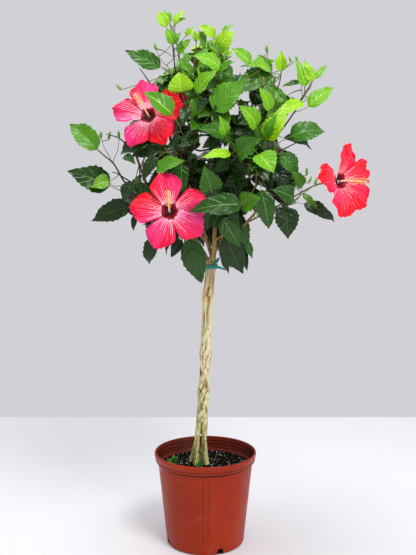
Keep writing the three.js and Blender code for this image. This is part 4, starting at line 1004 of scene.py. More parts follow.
class Finish:
    """One node material, built up step by step."""

    def __init__(self, name, colour, roughness, specular=0.5):
        self.material = bpy.data.materials.new(name)
        self.material.use_nodes = True
        self.tree = self.material.node_tree
        self.shader = self.tree.nodes["Principled BSDF"]
        self.shader.inputs["Base Color"].default_value = colour
        self.shader.inputs["Roughness"].default_value = roughness
        self.shader.inputs["Specular IOR Level"].default_value = specular
        self.material.diffuse_color = colour
        self.coordinates = self.tree.nodes.new("ShaderNodeTexCoord")

    def node(self, kind, inputs=None, **settings):
        made = self.tree.nodes.new("ShaderNode" + kind)
        for key, value in settings.items():
            setattr(made, key, value)
        for key, value in (inputs or {}).items():
            if isinstance(value, bpy.types.NodeSocket):
                self.tree.links.new(value, made.inputs[key])
            else:
                made.inputs[key].default_value = value
        return made

    def noise(self, scale, stretch=(1, 1, 1), detail=4):
        place = self.node("Mapping", {"Vector": self.coordinates.outputs["Object"], "Scale": stretch})
        inputs = {"Vector": place.outputs[0], "Scale": scale, "Detail": detail}
        return self.node("TexNoise", inputs).outputs[0]

    def ramp(self, value, stops):
        made = self.node("ValToRGB", {0: value})
        elements = made.color_ramp.elements
        while len(elements) < len(stops):
            elements.new(0.5)
        for element, (place, colour) in zip(elements, stops):
            element.position = place
            element.color = colour
        return made.outputs[0]

    def mask(self, value, low, high):
        """Black up to one value and white from the other."""
        return self.ramp(value, [(low, BLACK), (high, WHITE)])

    def math(self, operation, a, b=0.0):
        return self.node("Math", {0: a, 1: b}, operation=operation).outputs[0]

    def mix(self, share, a, b):
        return self.node("Mix", {0: share, 6: a, 7: b}, data_type="RGBA").outputs[2]

    def colour(self, socket):
        self.tree.links.new(socket, self.shader.inputs["Base Color"])

    def rough(self, value, low, high):
        spread = self.node("MapRange", {0: value, 1: 0.3, 2: 0.7, 3: low, 4: high})
        self.tree.links.new(spread.outputs[0], self.shader.inputs["Roughness"])

    def bump(self, value, strength, distance):
        made = self.node("Bump", {"Height": value, "Strength": strength, "Distance": distance})
        self.tree.links.new(made.outputs[0], self.shader.inputs["Normal"])


def pot_plastic(name, shade):
    finish = Finish(name, rgb(150 * shade, 36 * shade, 10 * shade), 0.4, 0.18)
    broad = finish.noise(9, detail=3)
    stops = ((0.3, (142, 36, 8)), (0.55, (154, 43, 11)), (0.75, (163, 50, 15)))
    colour = finish.ramp(broad, [(place, rgb(*(c * shade for c in plain))) for place, plain in stops])
    dusty = finish.mask(finish.noise(42, detail=8), 0.6, 0.8)
    finish.colour(finish.mix(finish.math("MULTIPLY", dusty, 0.14), colour, rgb(196, 120, 98)))
    finish.rough(finish.noise(30, detail=6), 0.3, 0.46)
    finish.bump(finish.noise(420, detail=3), 0.12, 0.0006)
    return finish.material


def potting_mix():
    finish = Finish("potting_mix", rgb(24, 19, 16), 0.95, 0.08)
    grain = finish.noise(260, detail=8)
    finish.colour(finish.ramp(grain, [
        (0.35, rgb(11, 10, 9)), (0.55, rgb(20, 17, 14)), (0.75, rgb(44, 35, 28))]))
    finish.bump(grain, 1.0, 0.003)
    return finish.material


def grain_kind(name, dark, light, roughness=0.9):
    """A crumb's surface, grainy between two colours."""
    finish = Finish(name, dark, roughness, 0.08)
    grain = finish.noise(500, detail=5)
    finish.colour(finish.ramp(grain, [(0.35, dark), (0.7, light)]))
    finish.bump(grain, 0.6, 0.001)
    return finish.material


def bark(name, stops, streak):
    """Bark whose colour changes with height, with long streaks, fine cracks, mossy specks low down and pale
    streaks that are painted highlights.
    """
    finish = Finish(name, stops[0][1], 0.85, 0.3)
    split = finish.node("SeparateXYZ", {0: finish.coordinates.outputs["Object"]})
    ragged = finish.math("MULTIPLY", finish.math("SUBTRACT", finish.noise(14), 0.5), 0.35)
    height = finish.node("MapRange", {0: split.outputs[2], 1: 0.18, 2: 1.05}).outputs[0]
    base = finish.ramp(finish.math("ADD", height, ragged), stops)
    long = finish.noise(190, stretch=(1, 1, 0.07), detail=6)
    dark = finish.ramp(long, [(0.38, WHITE), (0.49, BLACK)])
    streaked = finish.mix(finish.math("MULTIPLY", dark, streak), base, rgb(98, 68, 34))
    # Pale vertical streaks of painted highlight, mixed in over the bark's colour.
    pale = finish.mask(finish.noise(420, stretch=(1, 1, 0.2)), 0.6, 0.72)
    low = finish.node("MapRange", {0: split.outputs[2], 1: 0.2, 2: 0.42, 3: 0.85, 4: 0.0}).outputs[0]
    specks = finish.mask(finish.noise(270, stretch=(1, 1, 0.6), detail=6), 0.5, 0.6)
    mossy = finish.mix(finish.math("MULTIPLY", specks, low), streaked, rgb(102, 104, 26))
    finish.colour(finish.mix(finish.math("MULTIPLY", pale, 0.35), mossy, rgb(228, 216, 180)))
    finish.bump(finish.math("ADD", long, finish.noise(900, stretch=(1, 1, 0.3))), 0.7, 0.0012)
    return finish.material


def plain_kind(name, colour, roughness, specular=0.5, grain=180, relief=0.25):
    """A plant surface of one plain colour, with fine relief and uneven gloss."""
    finish = Finish(name, colour, roughness, specular)
    uneven = finish.noise(grain)
    finish.rough(uneven, roughness * 0.8, min(1, roughness * 1.3))
    finish.bump(uneven, relief, 0.0008)
    return finish.material


def blade_kind(name, colour, roughness, specular):
    """A leaf blade: slanting side veins and a quilted surface between them."""
    finish = Finish(name, colour, roughness, specular)
    split = finish.node("SeparateXYZ", {0: finish.coordinates.outputs["UV"]})
    aside = finish.math("ABSOLUTE", finish.math("SUBTRACT", split.outputs[0], 0.5))
    slant = finish.math("SUBTRACT", split.outputs[1], finish.math("MULTIPLY", aside, 0.55))
    comb = finish.math("PINGPONG", finish.math("MULTIPLY", slant, 5.5), 0.5)
    vein = finish.node("MapRange", {0: comb, 1: 0.0, 2: 0.22, 3: 0.0, 4: 1.0},
                       interpolation_type="SMOOTHSTEP")
    quilt = finish.math("ADD", vein.outputs[0], finish.math("MULTIPLY", finish.noise(70), 2.2))
    finish.bump(quilt, 0.45, 0.0022)
    finish.rough(finish.noise(90), roughness * 0.75, roughness * 1.35)
    return finish.material


PETAL_TONES = [rgb(240, 14, 26), rgb(242, 20, 48), rgb(242, 28, 76), rgb(240, 38, 100), rgb(238, 52, 126)]
PETAL_KINDS = {"heart": 5, "eye": 6, "ray": 7, "faint": 8, "wash": 9}


def petal_materials():
    """A petal's plain colours from coral to rose, then its dark heart, red eye, rays and pale throat."""
    tones = [plain_kind(f"petal_{k}", tone, 0.55, 0.2, 260, 0.5) for k, tone in enumerate(PETAL_TONES)]
    marks = (("petal_heart", (70, 0, 10)), ("petal_eye", (142, 0, 22)), ("petal_ray", (255, 206, 226)),
             ("petal_faint_ray", (250, 112, 156)), ("petal_wash", (252, 150, 184)))
    return tones + [plain_kind(name, rgb(*colour), 0.55, 0.2, 260, 0.5) for name, colour in marks]


# Blade and midrib colours from brightest to darkest: partly the change with age, partly painted light on lit
# leaves and painted shade on low, inner ones.
LEAF_COLOURS = [
    (rgb(142, 194, 10), 0.34, 0.36), (rgb(106, 168, 8), 0.3, 0.36), (rgb(76, 138, 8), 0.27, 0.36),
    (rgb(50, 104, 8), 0.24, 0.36), (rgb(34, 77, 9), 0.22, 0.34), (rgb(24, 55, 9), 0.22, 0.3),
    (rgb(15, 37, 8), 0.24, 0.24),
]
MIDRIB_COLOURS = [rgb(182, 220, 66), rgb(92, 146, 44), rgb(46, 82, 34)]


def leaf_materials():
    blades = [blade_kind(f"leaf_{k}", *looks) for k, looks in enumerate(LEAF_COLOURS)]
    ribs = [plain_kind(f"midrib_{k}", colour, 0.45) for k, colour in enumerate(MIDRIB_COLOURS)]
    return blades + ribs


# ---------------------------------------------------------------- pieces

def dress(piece, slot, *nodes):
    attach(piece, "root")
    if nodes:
        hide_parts(*nodes)
    return piece


def leaf_kinds(age_and_shade):
    """The face kinds of a leaf of that age and painted shade: one for its blade and one for its midrib."""
    blade = int(age_and_shade * len(LEAF_COLOURS))
    rib = len(LEAF_COLOURS) + min(int(age_and_shade * len(MIDRIB_COLOURS)), len(MIDRIB_COLOURS) - 1)
    return np.where(LEAF_STRIPS == MIDRIB_STRIP, rib, blade)


TWIG_KINDS = {"brown": 0, "green": 1, "stalk": 2, "bud": 3}
TWIG_LOOKS = [
    ("twig_brown", (74, 48, 32), 0.8, 0.3, 0.6), ("twig_green", (104, 92, 44), 0.6, 0.4, 0.4),
    ("petiole_green", (112, 134, 44), 0.5, 0.3, 0.3), ("bud_green", (112, 164, 52), 0.5, 0.4, 0.3),
]
# A placed leaf this near to its wood has a thin green stalk, and one further off a short twig.
STALK_LENGTH = 45
# Masses whose middle lies nearer to the eye than this make up the front's piece.
FRONT_UNTIL = 60


def petiole(build, leaf):
    """The leaf's own stalk, from inside its twig to the foot of its blade."""
    foot, into = (leaf["grid"][k, 3:5].mean(0) for k in (0, 1))
    base = leaf["base"] - leaf["way"] * 0.8
    sag = lerp(base, foot, 0.5) - UP * 0.03 * leaf["length"]
    line = Curve([base, sag, foot, into]).spaced(5)
    tube(build, line, np.linspace(1.15, 0.55, 6) * leaf["length"] / 95, 4, TWIG_KINDS["stalk"])


def long_petiole(build, leaf, wood):
    """The stalk of a placed leaf, from the nearest wood to the foot of its blade."""
    foot, into = (leaf["grid"][k, 3:5].mean(0) for k in (0, 1))
    base = leaf["base"]
    far = np.linalg.norm(wood - base, axis=1)
    root = wood[(far * 1.8 + 0.9 * (wood - base) @ leaf["way"]).argmin()]
    gap = np.linalg.norm(root - foot)
    line = Curve([root, lerp(root, foot, 0.55) - leaf["way"] * 0.16 * gap, foot, into])
    steps = max(6, int(line.length / SHOOT["step"]))
    thick, kind = (1.0, "stalk") if gap < STALK_LENGTH else (1.4, "green")
    tube(build, line.spaced(steps), np.linspace(thick, 0.55, steps + 1), 5, TWIG_KINDS[kind])


def front_twigs(build, limbs, crowns):
    """The bare shoots and buds of the photograph, and points along all wood that stalks may start from."""
    wood = [limbs[name].curve.spaced(24) for name, *_ in BOUGHS]
    for crown in crowns:
        for shoot in crown.shoots:
            wood.append(Curve(shoot["points"]).spaced(8))
    wood = np.concatenate(wood)
    for points, tip, foot, kind in FRONT_TWIGS:
        last = np.array(points[-1], float)
        root = wood[np.linalg.norm(wood - last, axis=1).argmin()]
        line = Curve([*points, root])
        steps = max(8, int(line.length / SHOOT["step"]))
        tube(build, line.spaced(steps), np.linspace(tip, foot, steps + 1), 6, kind)
        wood = np.concatenate([wood, line.spaced(steps)])
    for root, tip, radius in BUDS:
        root, tip = np.array(root, float), np.array(tip, float)
        shares = np.linspace(0, 1, 8)
        body = np.array([lerp(root, tip, share) for share in shares])
        swell = np.interp(shares, (0, 0.15, 0.4, 0.75, 1), (0.35, 0.8, 1, 0.7, 0.15))
        tube(build, body, radius * swell, 8, TWIG_KINDS["bud"])
        near = wood[np.linalg.norm(wood - root, axis=1).argmin()]
        tube(build, [near, lerp(near, root, 0.5), root], (1.0, 0.9, 0.9), 5, TWIG_KINDS["stalk"])
    return wood


def grow_crowns(limbs, placed):
    """All masses with their shoots and leaves, grown round the placed leaves."""
    sight = Sight()
    foliage = Foliage()
    for leaf in placed:
        sight.cover(leaf["grid"].reshape(-1, 3))
        foliage.add(leaf)
    crowns = [Crown(row, index, limbs, sight, foliage) for index, row in enumerate(MASSES)]
    for crown in crowns:
        crown.meet(crowns)
    for crown in crowns:
        crown.grow_leaves()
    for crown in crowns:
        crown.fill_leaves()
    return crowns


def shoot_tube(build, shoot):
    line = Curve(shoot["points"])
    steps = max(4, int(line.length / SHOOT["step"]))
    thick = np.linspace(shoot["radii"][0], shoot["radii"][-1], steps + 1)
    tube(build, line.spaced(steps), thick, 6, TWIG_KINDS["green" if shoot["rank"] == 2 else "brown"])


def crown_pieces(limbs, materials):
    """Leaves, twigs and stalks of all masses, each kind joined into one piece."""
    twig_materials = [plain_kind(name, rgb(*colour), roughness, specular, 300, relief)
                      for name, colour, roughness, specular, relief in TWIG_LOOKS]
    placed = front_leaves()
    crowns = grow_crowns(limbs, placed)
    twigs = Build()
    wood = front_twigs(twigs, limbs, crowns)
    for name, front in (("leaves_front", True), ("leaves_back", False)):
        build = Build()
        members = [crown for crown in crowns if (crown.heart[1] < FRONT_UNTIL) == front]
        for leaf in placed if front else ():
            build.add(leaf["grid"], LEAF_FACES, leaf_kinds(leaf["age_and_shade"]), LEAF_UV)
            long_petiole(twigs, leaf, wood)
        for crown in members:
            for leaf in crown.leaves:
                build.add(leaf["grid"], LEAF_FACES, leaf_kinds(leaf_age_and_shade(leaf)), LEAF_UV)
                petiole(twigs, leaf)
            for shoot in crown.shoots:
                shoot_tube(twigs, shoot)
        dress(build.piece(name, materials), "leaf", *[crown.name for crown in members])
    dress(twigs.piece("twigs", twig_materials), "bark_dark")


# How limbs are meshed: sides, spacing of their rings, depth of bark, growth, first seed, streaks and colours.
LIMB_LOOKS = {
    "bark_light": {
        "sides": 18, "spacing": 2.4, "depth": 0.13, "grown": 0.97, "seed": 1, "streak": 0.85,
        "colours": ((0.0, (206, 206, 136)), (0.12, (214, 210, 150)), (0.3, (220, 210, 166)),
                    (0.48, (218, 200, 150)), (0.6, (208, 172, 110))),
    },
    "bark_dark": {
        "sides": 12, "spacing": 3.0, "depth": 0.12, "grown": 1.02, "seed": 9, "streak": 0.65,
        "colours": ((0.58, (208, 174, 116)), (0.68, (176, 138, 92)), (0.8, (98, 70, 46)),
                    (0.95, (76, 54, 38))),
    },
}


def bark_relief(points, sides, seed, depth):
    """How far the bark stands in or out round each ring, as a share of the radius."""
    lengths = lengths_along(points)
    out = np.ones((len(points), sides))
    for i, along in enumerate(lengths):
        knot = max(0, math.cos(along / 17 + seed * 1.7) - 0.82) * 0.5
        for k in range(sides):
            angle = 2 * math.pi * k / sides
            c, s = math.cos(angle), math.sin(angle)
            ridge = noise.noise(Vector((c * 2.2, s * 2.2 + seed, along * 0.02)))
            crack = noise.noise(Vector((c * 5, s * 5 - seed, along * 0.12)))
            out[i, k] = 1 + depth * (0.7 * ridge + 0.4 * crack) + knot
    return out


def limb_piece(name, limb, radius_at, order, material, slot):
    look = LIMB_LOOKS[slot]
    build = Build()
    count = max(6, int(limb.curve.length / look["spacing"]))
    points = limb.curve.spaced(count)
    radii = np.array([radius_at(k / count, p) for k, p in enumerate(points)]) * look["grown"]
    relief = bark_relief(points, look["sides"], look["seed"] + order, look["depth"])
    tube(build, points, radii, look["sides"], 0, relief)
    return dress(build.piece(name + "_bark", [material]), slot, name)


def stem_and_bough_pieces(limbs):
    barks = {name: bark(name, [(place, rgb(*colour)) for place, colour in look["colours"]], look["streak"])
             for name, look in LIMB_LOOKS.items()}
    for order, (name, *_) in enumerate(STEMS):
        limb_piece(name, limbs[name], lambda share, p: stem_radius(p[2]), order,
                   barks["bark_light"], "bark_light")
    for order, (name, *_, (r0, r1)) in enumerate(BOUGHS):
        limb_piece(name, limbs[name], lambda share, p, a=r0, b=r1: lerp(a, b, share), order,
                   barks["bark_dark"], "bark_dark")


# ---------------------------------------------------------------- blooms

PETAL_ROWS = 30
PETAL_SHARES = np.linspace(0, 1, PETAL_ROWS + 1)
PETAL_HALF = np.interp(PETAL_SHARES, (0, 0.15, 0.33, 0.5, 0.68, 0.82, 0.92, 1),
                       (0.07, 0.15, 0.23, 0.31, 0.385, 0.41, 0.38, 0.29))
RAYS = np.linspace(-0.86, 0.86, 11) + 0.02 * np.sin(np.arange(11) * 2.3)
RAY_WIDTH = np.interp(PETAL_SHARES, (0, 0.2, 0.5, 0.9, 1), (0.036, 0.034, 0.014, 0.007, 0.006))
STRIPS = 3 * len(RAYS)
PETAL_LIFT = 0.9
COLUMN_KINDS = {"column": 0, "anther": 1, "stigma": 2}
CALYX_KINDS = {"cup": 0, "stalk": 1}
STAMENS = {"count": 40, "from": 0.36, "to": 0.94, "length": (4.5, 9.0), "anther": (0.9, 1.3)}
# How rose, from 0 to 4, and how pale at its throat, from 0 to 1, each petal of each bloom is.
PETAL_LOOKS = [
    ((2.2, 0.25), (1.4, 0.25), (2.8, 0.25), (3.0, 0.45), (2.8, 0.4)),
    ((3.4, 0.6), (3.0, 0.95), (3.4, 0.75), (0.6, 0.2), (0.2, 0.1)),
    ((0.8, -0.1), (0.4, -0.3), (0.8, -0.1), (0.6, 0.0), (0.6, -0.1)),
    ((3.0, 0.3), (2.0, 0.3), (3.0, 0.3), (2.0, 0.3), (3.0, 0.3)),
]


def petal_across():
    """Where the columns of a petal lie in each row: two by each ray, one between rays, one at each edge."""
    width = RAY_WIDTH[:, None]
    columns = [np.full_like(width, -1)]
    for k, ray in enumerate(RAYS):
        columns += [ray - width, ray + width]
        if k + 1 < len(RAYS):
            columns.append(np.full_like(width, (ray + RAYS[k + 1]) / 2))
    columns.append(np.full_like(width, 1))
    return np.concatenate(columns, axis=1)


PETAL_ACROSS = petal_across()


def petal_kinds(random, rose, pale, side):
    """The face kinds of a petal: dark eye, rays of uneven length, coral on one side and rose on the other."""
    shares = (PETAL_SHARES[1:] + PETAL_SHARES[:-1]) / 2
    kinds = np.empty((PETAL_ROWS, STRIPS), int)
    for j in range(STRIPS):
        over = 2 * (j + 0.5) / STRIPS - 1
        kinds[:, j] = int(round(min(max(rose + 1.3 * side * over, 0), 4)))
        eye = lerp(0.15, 0.2, random())
        kinds[shares < eye + pale * lerp(0.04, 0.3, random()), j] = PETAL_KINDS["wash"]
        if j % 3 == 1:
            kinds[shares < lerp(0.6, 0.9, random()), j] = PETAL_KINDS["faint"]
            kinds[shares < lerp(0.12, 0.55, random()) + 0.35 * pale, j] = PETAL_KINDS["ray"]
        kinds[shares < eye, j] = PETAL_KINDS["eye"]
        kinds[shares < 0.1, j] = PETAL_KINDS["heart"]
    return kinds.ravel()


def petal_points(radius, phase, cup):
    """One petal lying along +X, cupped, ruffled at its edge and turned back at its rim."""
    share = PETAL_SHARES[:, None]
    over = PETAL_ACROSS
    edge = np.abs(over) ** 3
    frill = 1 + (0.016 * np.sin(over * 19 + phase * 3) + 0.016 * np.sin(over * 5.3 + phase * 7)) * share**3
    out = lerp(3, radius, share) * frill - radius * (0.1 * over**2 + 0.1 * over**4) * share
    aside = radius * PETAL_HALF[:, None] * over
    bowl = 17 * (np.sin(share * math.pi * 0.62) - 0.55) - 9 * share**4 + cup * share**1.3
    wave = 5.0 * share**2 * np.sin(over * math.pi * 1.6 + phase)
    ruffle = (3.4 * share**1.5 * edge * np.sin(share * 17 + phase * 2 + over)
              + 1.6 * share**6 * np.sin(over * 13 + phase))
    folds = 0.7 * share * np.cos(over * 16)
    tilt = math.sin(math.radians(13)) * aside
    return paired(out, aside, bowl + wave + ruffle + folds + tilt)


def lay_on(face, throat):
    """The source's turn of +Z to the bloom's face, as rows of a frame, and its throat."""
    axis = np.cross(UP, face)
    angle = math.acos(float(np.clip(UP @ face, -1, 1)))
    axis = unit(axis)
    basis = np.array([turned(v, axis, angle) for v in np.eye(3)])
    return lambda points: np.asarray(points, float) @ basis + throat


def petal_turns(petals, face, throat):
    """Petal turns as they look from in front, as turns about the bloom's own axis."""
    lay = lay_on(face, throat)
    x_axis, y_axis = lay((1, 0, 0)) - throat, lay((0, 1, 0)) - throat
    right = unit(np.cross(UP, face))
    up = np.cross(face, right)
    turns = []
    for angle in petals:
        a = math.radians(angle)
        aim = right * math.cos(a) + up * math.sin(a)
        turns.append(math.atan2(aim @ y_axis, aim @ x_axis))
    return turns


def bloom_pieces(limbs):
    petals, columns, greens = Build(), Build(), Build()
    faces = grid_faces(PETAL_ROWS + 1, STRIPS + 1)
    for number, (name, _, _, throat, face, radius, turns, lean, cup) in enumerate(BLOOMS):
        face, throat = unit(np.array(face)), np.array(throat, float)
        lay = lay_on(face, throat)
        random = seeded(900 + number)
        for k, turn in enumerate(petal_turns(turns, face, throat)):
            x, y, z = np.moveaxis(petal_points(radius, k * 1.9 + number, cup), -1, 0)
            c, s = math.cos(turn), math.sin(turn)
            spun = paired(x * c - y * s, x * s + y * c, z + PETAL_LIFT * (k % 2))
            rose, pale = PETAL_LOOKS[number][k]
            petals.add(lay(spun.reshape(-1, 3)), faces, petal_kinds(random, rose, pale, 1 if k % 2 else -1))
        staminal_column(columns, throat, face, unit(np.array(lean)), number)
        calyx(greens, throat, face, limbs[name + "_stalk"])
    dress(petals.piece("petals", petal_materials()), "petal", *[row[0] for row in BLOOMS])
    dress(columns.piece("stamens", [
        plain_kind("column_pale", rgb(255, 220, 174), 0.5),
        plain_kind("anther", rgb(250, 216, 110), 0.8),
        plain_kind("stigma", rgb(222, 60, 60), 0.7),
    ]), "petal")
    dress(greens.piece("calyxes", [
        plain_kind("calyx_green", rgb(112, 158, 56), 0.5),
        plain_kind("stalk_green", rgb(108, 122, 52), 0.6),
    ]), "leaf")


def ball(build, centre, radius, kind, seed=0.0):
    """A small lumpy grain of pollen, bud or stigma."""
    rows, columns = 4, 6
    points = [centre + np.array((0, 0, -radius))]
    for i in range(1, rows):
        polar = math.pi * i / rows
        for k in range(columns):
            a = 2 * math.pi * (k + 0.5 * (i % 2)) / columns
            lump = radius * (1 + 0.12 * math.sin(seed + 3 * k + i))
            way = (math.sin(polar) * math.cos(a), math.sin(polar) * math.sin(a), -math.cos(polar))
            points.append(centre + lump * np.array(way))
    points.append(centre + np.array((0, 0, radius)))
    faces = [(0, 1 + (k + 1) % columns, 1 + k) for k in range(columns)]
    for i in range(rows - 2):
        for k in range(columns):
            a, b = 1 + i * columns + k, 1 + i * columns + (k + 1) % columns
            faces.append((a, b, b + columns, a + columns))
    last = 1 + (rows - 2) * columns
    top = len(points) - 1
    faces += [(top, last + k, last + (k + 1) % columns) for k in range(columns)]
    build.add(points, faces, kind)


def staminal_column(build, throat, face, lean, number):
    """The pale column with its stamens, and five stigmas at its tip."""
    aside = unit(lean - face * (lean @ face))
    tip = throat + face * BLOOM["column"] * 0.62 + aside * 38
    curve = Curve([throat - face * 4, throat + face * 10 + aside * 4, throat + face * 24 + aside * 20, tip])
    line = curve.spaced(14)
    radii = np.interp(np.linspace(0, 1, 15), (0, 0.3, 1), (2.2, 1.4, 0.9))
    tube(build, line, radii, 8, COLUMN_KINDS["column"])
    random = seeded(500 + number)
    for k in range(STAMENS["count"]):
        share = lerp(STAMENS["from"], STAMENS["to"], k / (STAMENS["count"] - 1))
        root, way = curve.at(share), curve.way(share)
        out = turned(unit(np.cross(way, (0.3, 0.5, 0.8))), way, GOLDEN * k)
        far = root + (out * 0.85 + way * 0.35) * lerp(*STAMENS["length"], random())
        tube(build, [root, lerp(root, far, 0.5), far], (0.35, 0.3, 0.25), 3, COLUMN_KINDS["column"])
        ball(build, far, lerp(*STAMENS["anther"], random()), COLUMN_KINDS["anther"], random() * 6)
    end, way = curve.at(1), curve.way(1)
    for k in range(5):
        out = turned(unit(np.cross(way, (0.3, 0.5, 0.8))), way, 2 * math.pi * k / 5)
        far = end + way * 4.5 + out * 3.4
        tube(build, [end - way, end + way * 2 + out, far], (0.55, 0.5, 0.4), 4, COLUMN_KINDS["stigma"])
        ball(build, far, 1.25, COLUMN_KINDS["stigma"], k)


def calyx(build, throat, face, stalk):
    """The green cup, the small bracts below it and the stalk."""
    start = throat - face * (BLOOM["calyx"] + 17)
    shares = np.linspace(0, 1, 9)
    line = np.array([start + face * 27 * s for s in shares])
    radii = np.interp(shares, (0, 0.12, 0.4, 0.75, 1), (2.6, 4.6, 6.8, 7.0, 5.4))
    tube(build, line, radii, 10, CALYX_KINDS["cup"])
    around = unit(np.cross(face, (0.2, 0.3, 0.9)))
    for k in range(7):
        out = turned(around, face, 2 * math.pi * k / 7)
        root = start + face * 1.5 + out * 2.4
        far = root + out * 10 + face * 4
        side = np.cross(out, face) * 1.3
        wide = lerp(root, far, 0.6)
        bract = [root - side, root + side, wide + side, far, wide - side]
        build.add(bract, [range(5)], CALYX_KINDS["cup"])
    line = np.concatenate([stalk.curve.spaced(16), [start + face * 3]])
    tube(build, line, [BLOOM["stalk"] * 0.9] * len(line), 7, CALYX_KINDS["stalk"])


# ---------------------------------------------------------------- pot, soil and tie

POT_KINDS = {"outside": 0, "inside": 1, "groove": 2, "panel": 3, "ledge": 4}
POT_PANELS = (-157, -150, -93, -87, -30, -23, 23, 30, 87, 93, 150, 157)
POT_LEDGES = {"count": 3, "first": 5.0, "apart": 8.0, "tall": 3.6, "drop": 2.2, "in": 1.9}
POT_GROOVES = [(-3.5, -0.2), (5.0, 7.0)]


def pot_profile():
    """The pot's section from the middle of its underside, up its outside, over the lip and down inside."""
    shoulder = POT["height"] - POT["band"]
    rim, top, base, curve = POT["rim"], POT["top"], POT["base"], POT["rounding"]
    points = [(0.01, 0), (base - 30, 0), (base - 29, 1.2), (base - 14, 1.2), (base - 13, 0)]
    for k in range(9):
        a = math.pi / 2 * k / 8
        points.append((base - curve + curve * math.sin(a), curve * (1 - math.cos(a))))
    points += [(lerp(base, top, t), lerp(curve, shoulder - 4, t)) for t in np.linspace(0.08, 1, 12)]
    lip = POT["height"]
    points += [(top + 0.2, shoulder - 2), (top + 0.1, shoulder - 0.6), (top + 1.0, shoulder),
               (rim - 3.2, shoulder + 0.9), (rim - 2.4, shoulder + 2.4), (rim - 2.0, shoulder + 5),
               (rim - 2.4, shoulder + 5.8), (rim - 2.3, shoulder + 6.6), (rim - 1.7, shoulder + 7.4),
               (rim - 1.3, shoulder + 13.2), (rim - 0.3, shoulder + 14.4), (rim, shoulder + 15.6),
               (rim, lip - 2.2), (rim - 0.6, lip - 0.6), (rim - 1.8, lip), (rim - 3.2, lip - 0.1),
               (rim - 4.0, lip - 1.0)]
    for step in range(POT_LEDGES["count"]):
        high = POT["height"] - POT_LEDGES["first"] - POT_LEDGES["apart"] * step
        wall = rim - 4.6 - POT_LEDGES["in"] * step
        points += [(wall, high + 1.2), (wall - 0.3, high - POT_LEDGES["tall"]),
                   (wall - POT_LEDGES["in"] + 0.1, high - POT_LEDGES["tall"] - POT_LEDGES["drop"])]
    points += [(top - POT["wall"] - 1.06, SOIL_TOP + 1.5), (base - POT["wall"], POT["floor"] + curve),
               (base - POT["wall"] - curve, POT["floor"]), (0.01, POT["floor"])]
    return points


POT_SEGMENTS = 320
PANEL = {"width": 0.014, "deep": 0.7, "shown": 0.6}
# Copies of the pot's plastic scaled darker: painted shade inside the pot, in the rim's grooves, along the
# panel lines and darkest under the inner ledges.
POT_SHADES = (
    ("pot_plastic", 1), ("pot_inside_painted_shade", 0.7), ("pot_groove_painted_shade", 0.45), ("pot_panel_painted_shade", 0.82), ("pot_ledge_painted_shade", 0.16),
)


def panel_depths(angles):
    """How deep the lines between the pot's panels are at each angle, from 0 to 1."""
    panel = np.zeros(len(angles))
    for centre in POT_PANELS:
        gap = np.abs((angles - math.radians(centre) + math.pi) % (2 * math.pi) - math.pi)
        panel = np.maximum(panel, np.exp(-(gap / PANEL["width"]) ** 2))
    return panel


def pot_kinds(profile, panel):
    """The face kinds of the pot: outside, inside, grooves of the rim, panel lines and ledges; all but the
    outside take darker copies of the plastic as painted shade.
    """
    rim_top = int(profile[:, 1].argmax())
    rows = [POT_KINDS["inside" if k > rim_top else "outside"] for k in range(len(profile) - 1)]
    for k in range(len(rows)):
        high = (profile[k, 1] + profile[k + 1, 1]) / 2 - (POT["height"] - POT["band"])
        if k < rim_top and any(low < high < top for low, top in POT_GROOVES):
            rows[k] = POT_KINDS["groove"]
        if k > rim_top and abs(profile[k, 1] - profile[k + 1, 1] - POT_LEDGES["drop"]) < 0.01:
            rows[k] = POT_KINDS["ledge"]
    kinds = np.repeat(rows, POT_SEGMENTS).reshape(-1, POT_SEGMENTS)
    wall = [k for k in range(rim_top) if POT["rounding"] <= profile[k, 1] < POT["height"] - POT["band"] - 4]
    kinds[np.ix_(wall, np.flatnonzero(panel > PANEL["shown"]))] = POT_KINDS["panel"]
    return kinds.ravel()


def pot_piece():
    build = Build()
    profile = np.array(pot_profile())
    angles = np.arange(POT_SEGMENTS) * 2 * math.pi / POT_SEGMENTS
    panel = panel_depths(angles)
    rings = []
    for radius, z in profile:
        outside = radius > POT["base"] and POT["rounding"] < z < POT["height"] - POT["band"] - 4
        grown = radius - (PANEL["deep"] * panel if outside else 0)
        rings.append(paired(np.cos(angles) * grown, np.sin(angles) * grown, z))
    faces = grid_faces(len(profile), POT_SEGMENTS, closed=True)
    build.add(np.concatenate(rings), faces, pot_kinds(profile, panel))
    plastics = [pot_plastic(name, shade) for name, shade in POT_SHADES]
    pot = build.piece("pot_shell", plastics)
    drain_holes(pot, plastics)
    return dress(pot, "pot_plastic", "pot")


def drain_holes(pot, plastics):
    """Cuts the drain holes through the corner between wall and floor."""
    cutter_build = Build()
    for k in range(DRAIN["count"]):
        angle = math.radians(DRAIN["turn"] - 90 + 360 * k / DRAIN["count"])
        out = np.array((math.cos(angle), math.sin(angle), 0))
        start = out * (POT["base"] - DRAIN["inside"]) + UP * DRAIN["high"]
        end = out * (POT["base"] + DRAIN["outside"]) + UP * (DRAIN["low"] + DRAIN["lift"])
        # The cutter's faces, which line the drain holes, take the darkest copy of the plastic: painted shade
        # inside the holes.
        tube(cutter_build, [start, lerp(start, end, 0.5), end], [DRAIN["radius"]] * 3, 24, POT_KINDS["ledge"])
    cutter = cutter_build.piece("drain_cutter", plastics)
    cut = pot.modifiers.new("drain", "BOOLEAN")
    cut.object = cutter
    cut.operation = "DIFFERENCE"
    bpy.context.view_layer.update()
    shaped = bpy.data.meshes.new_from_object(pot.evaluated_get(bpy.context.evaluated_depsgraph_get()))
    pot.modifiers.clear()
    pot.data = shaped
    bpy.data.objects.remove(cutter)


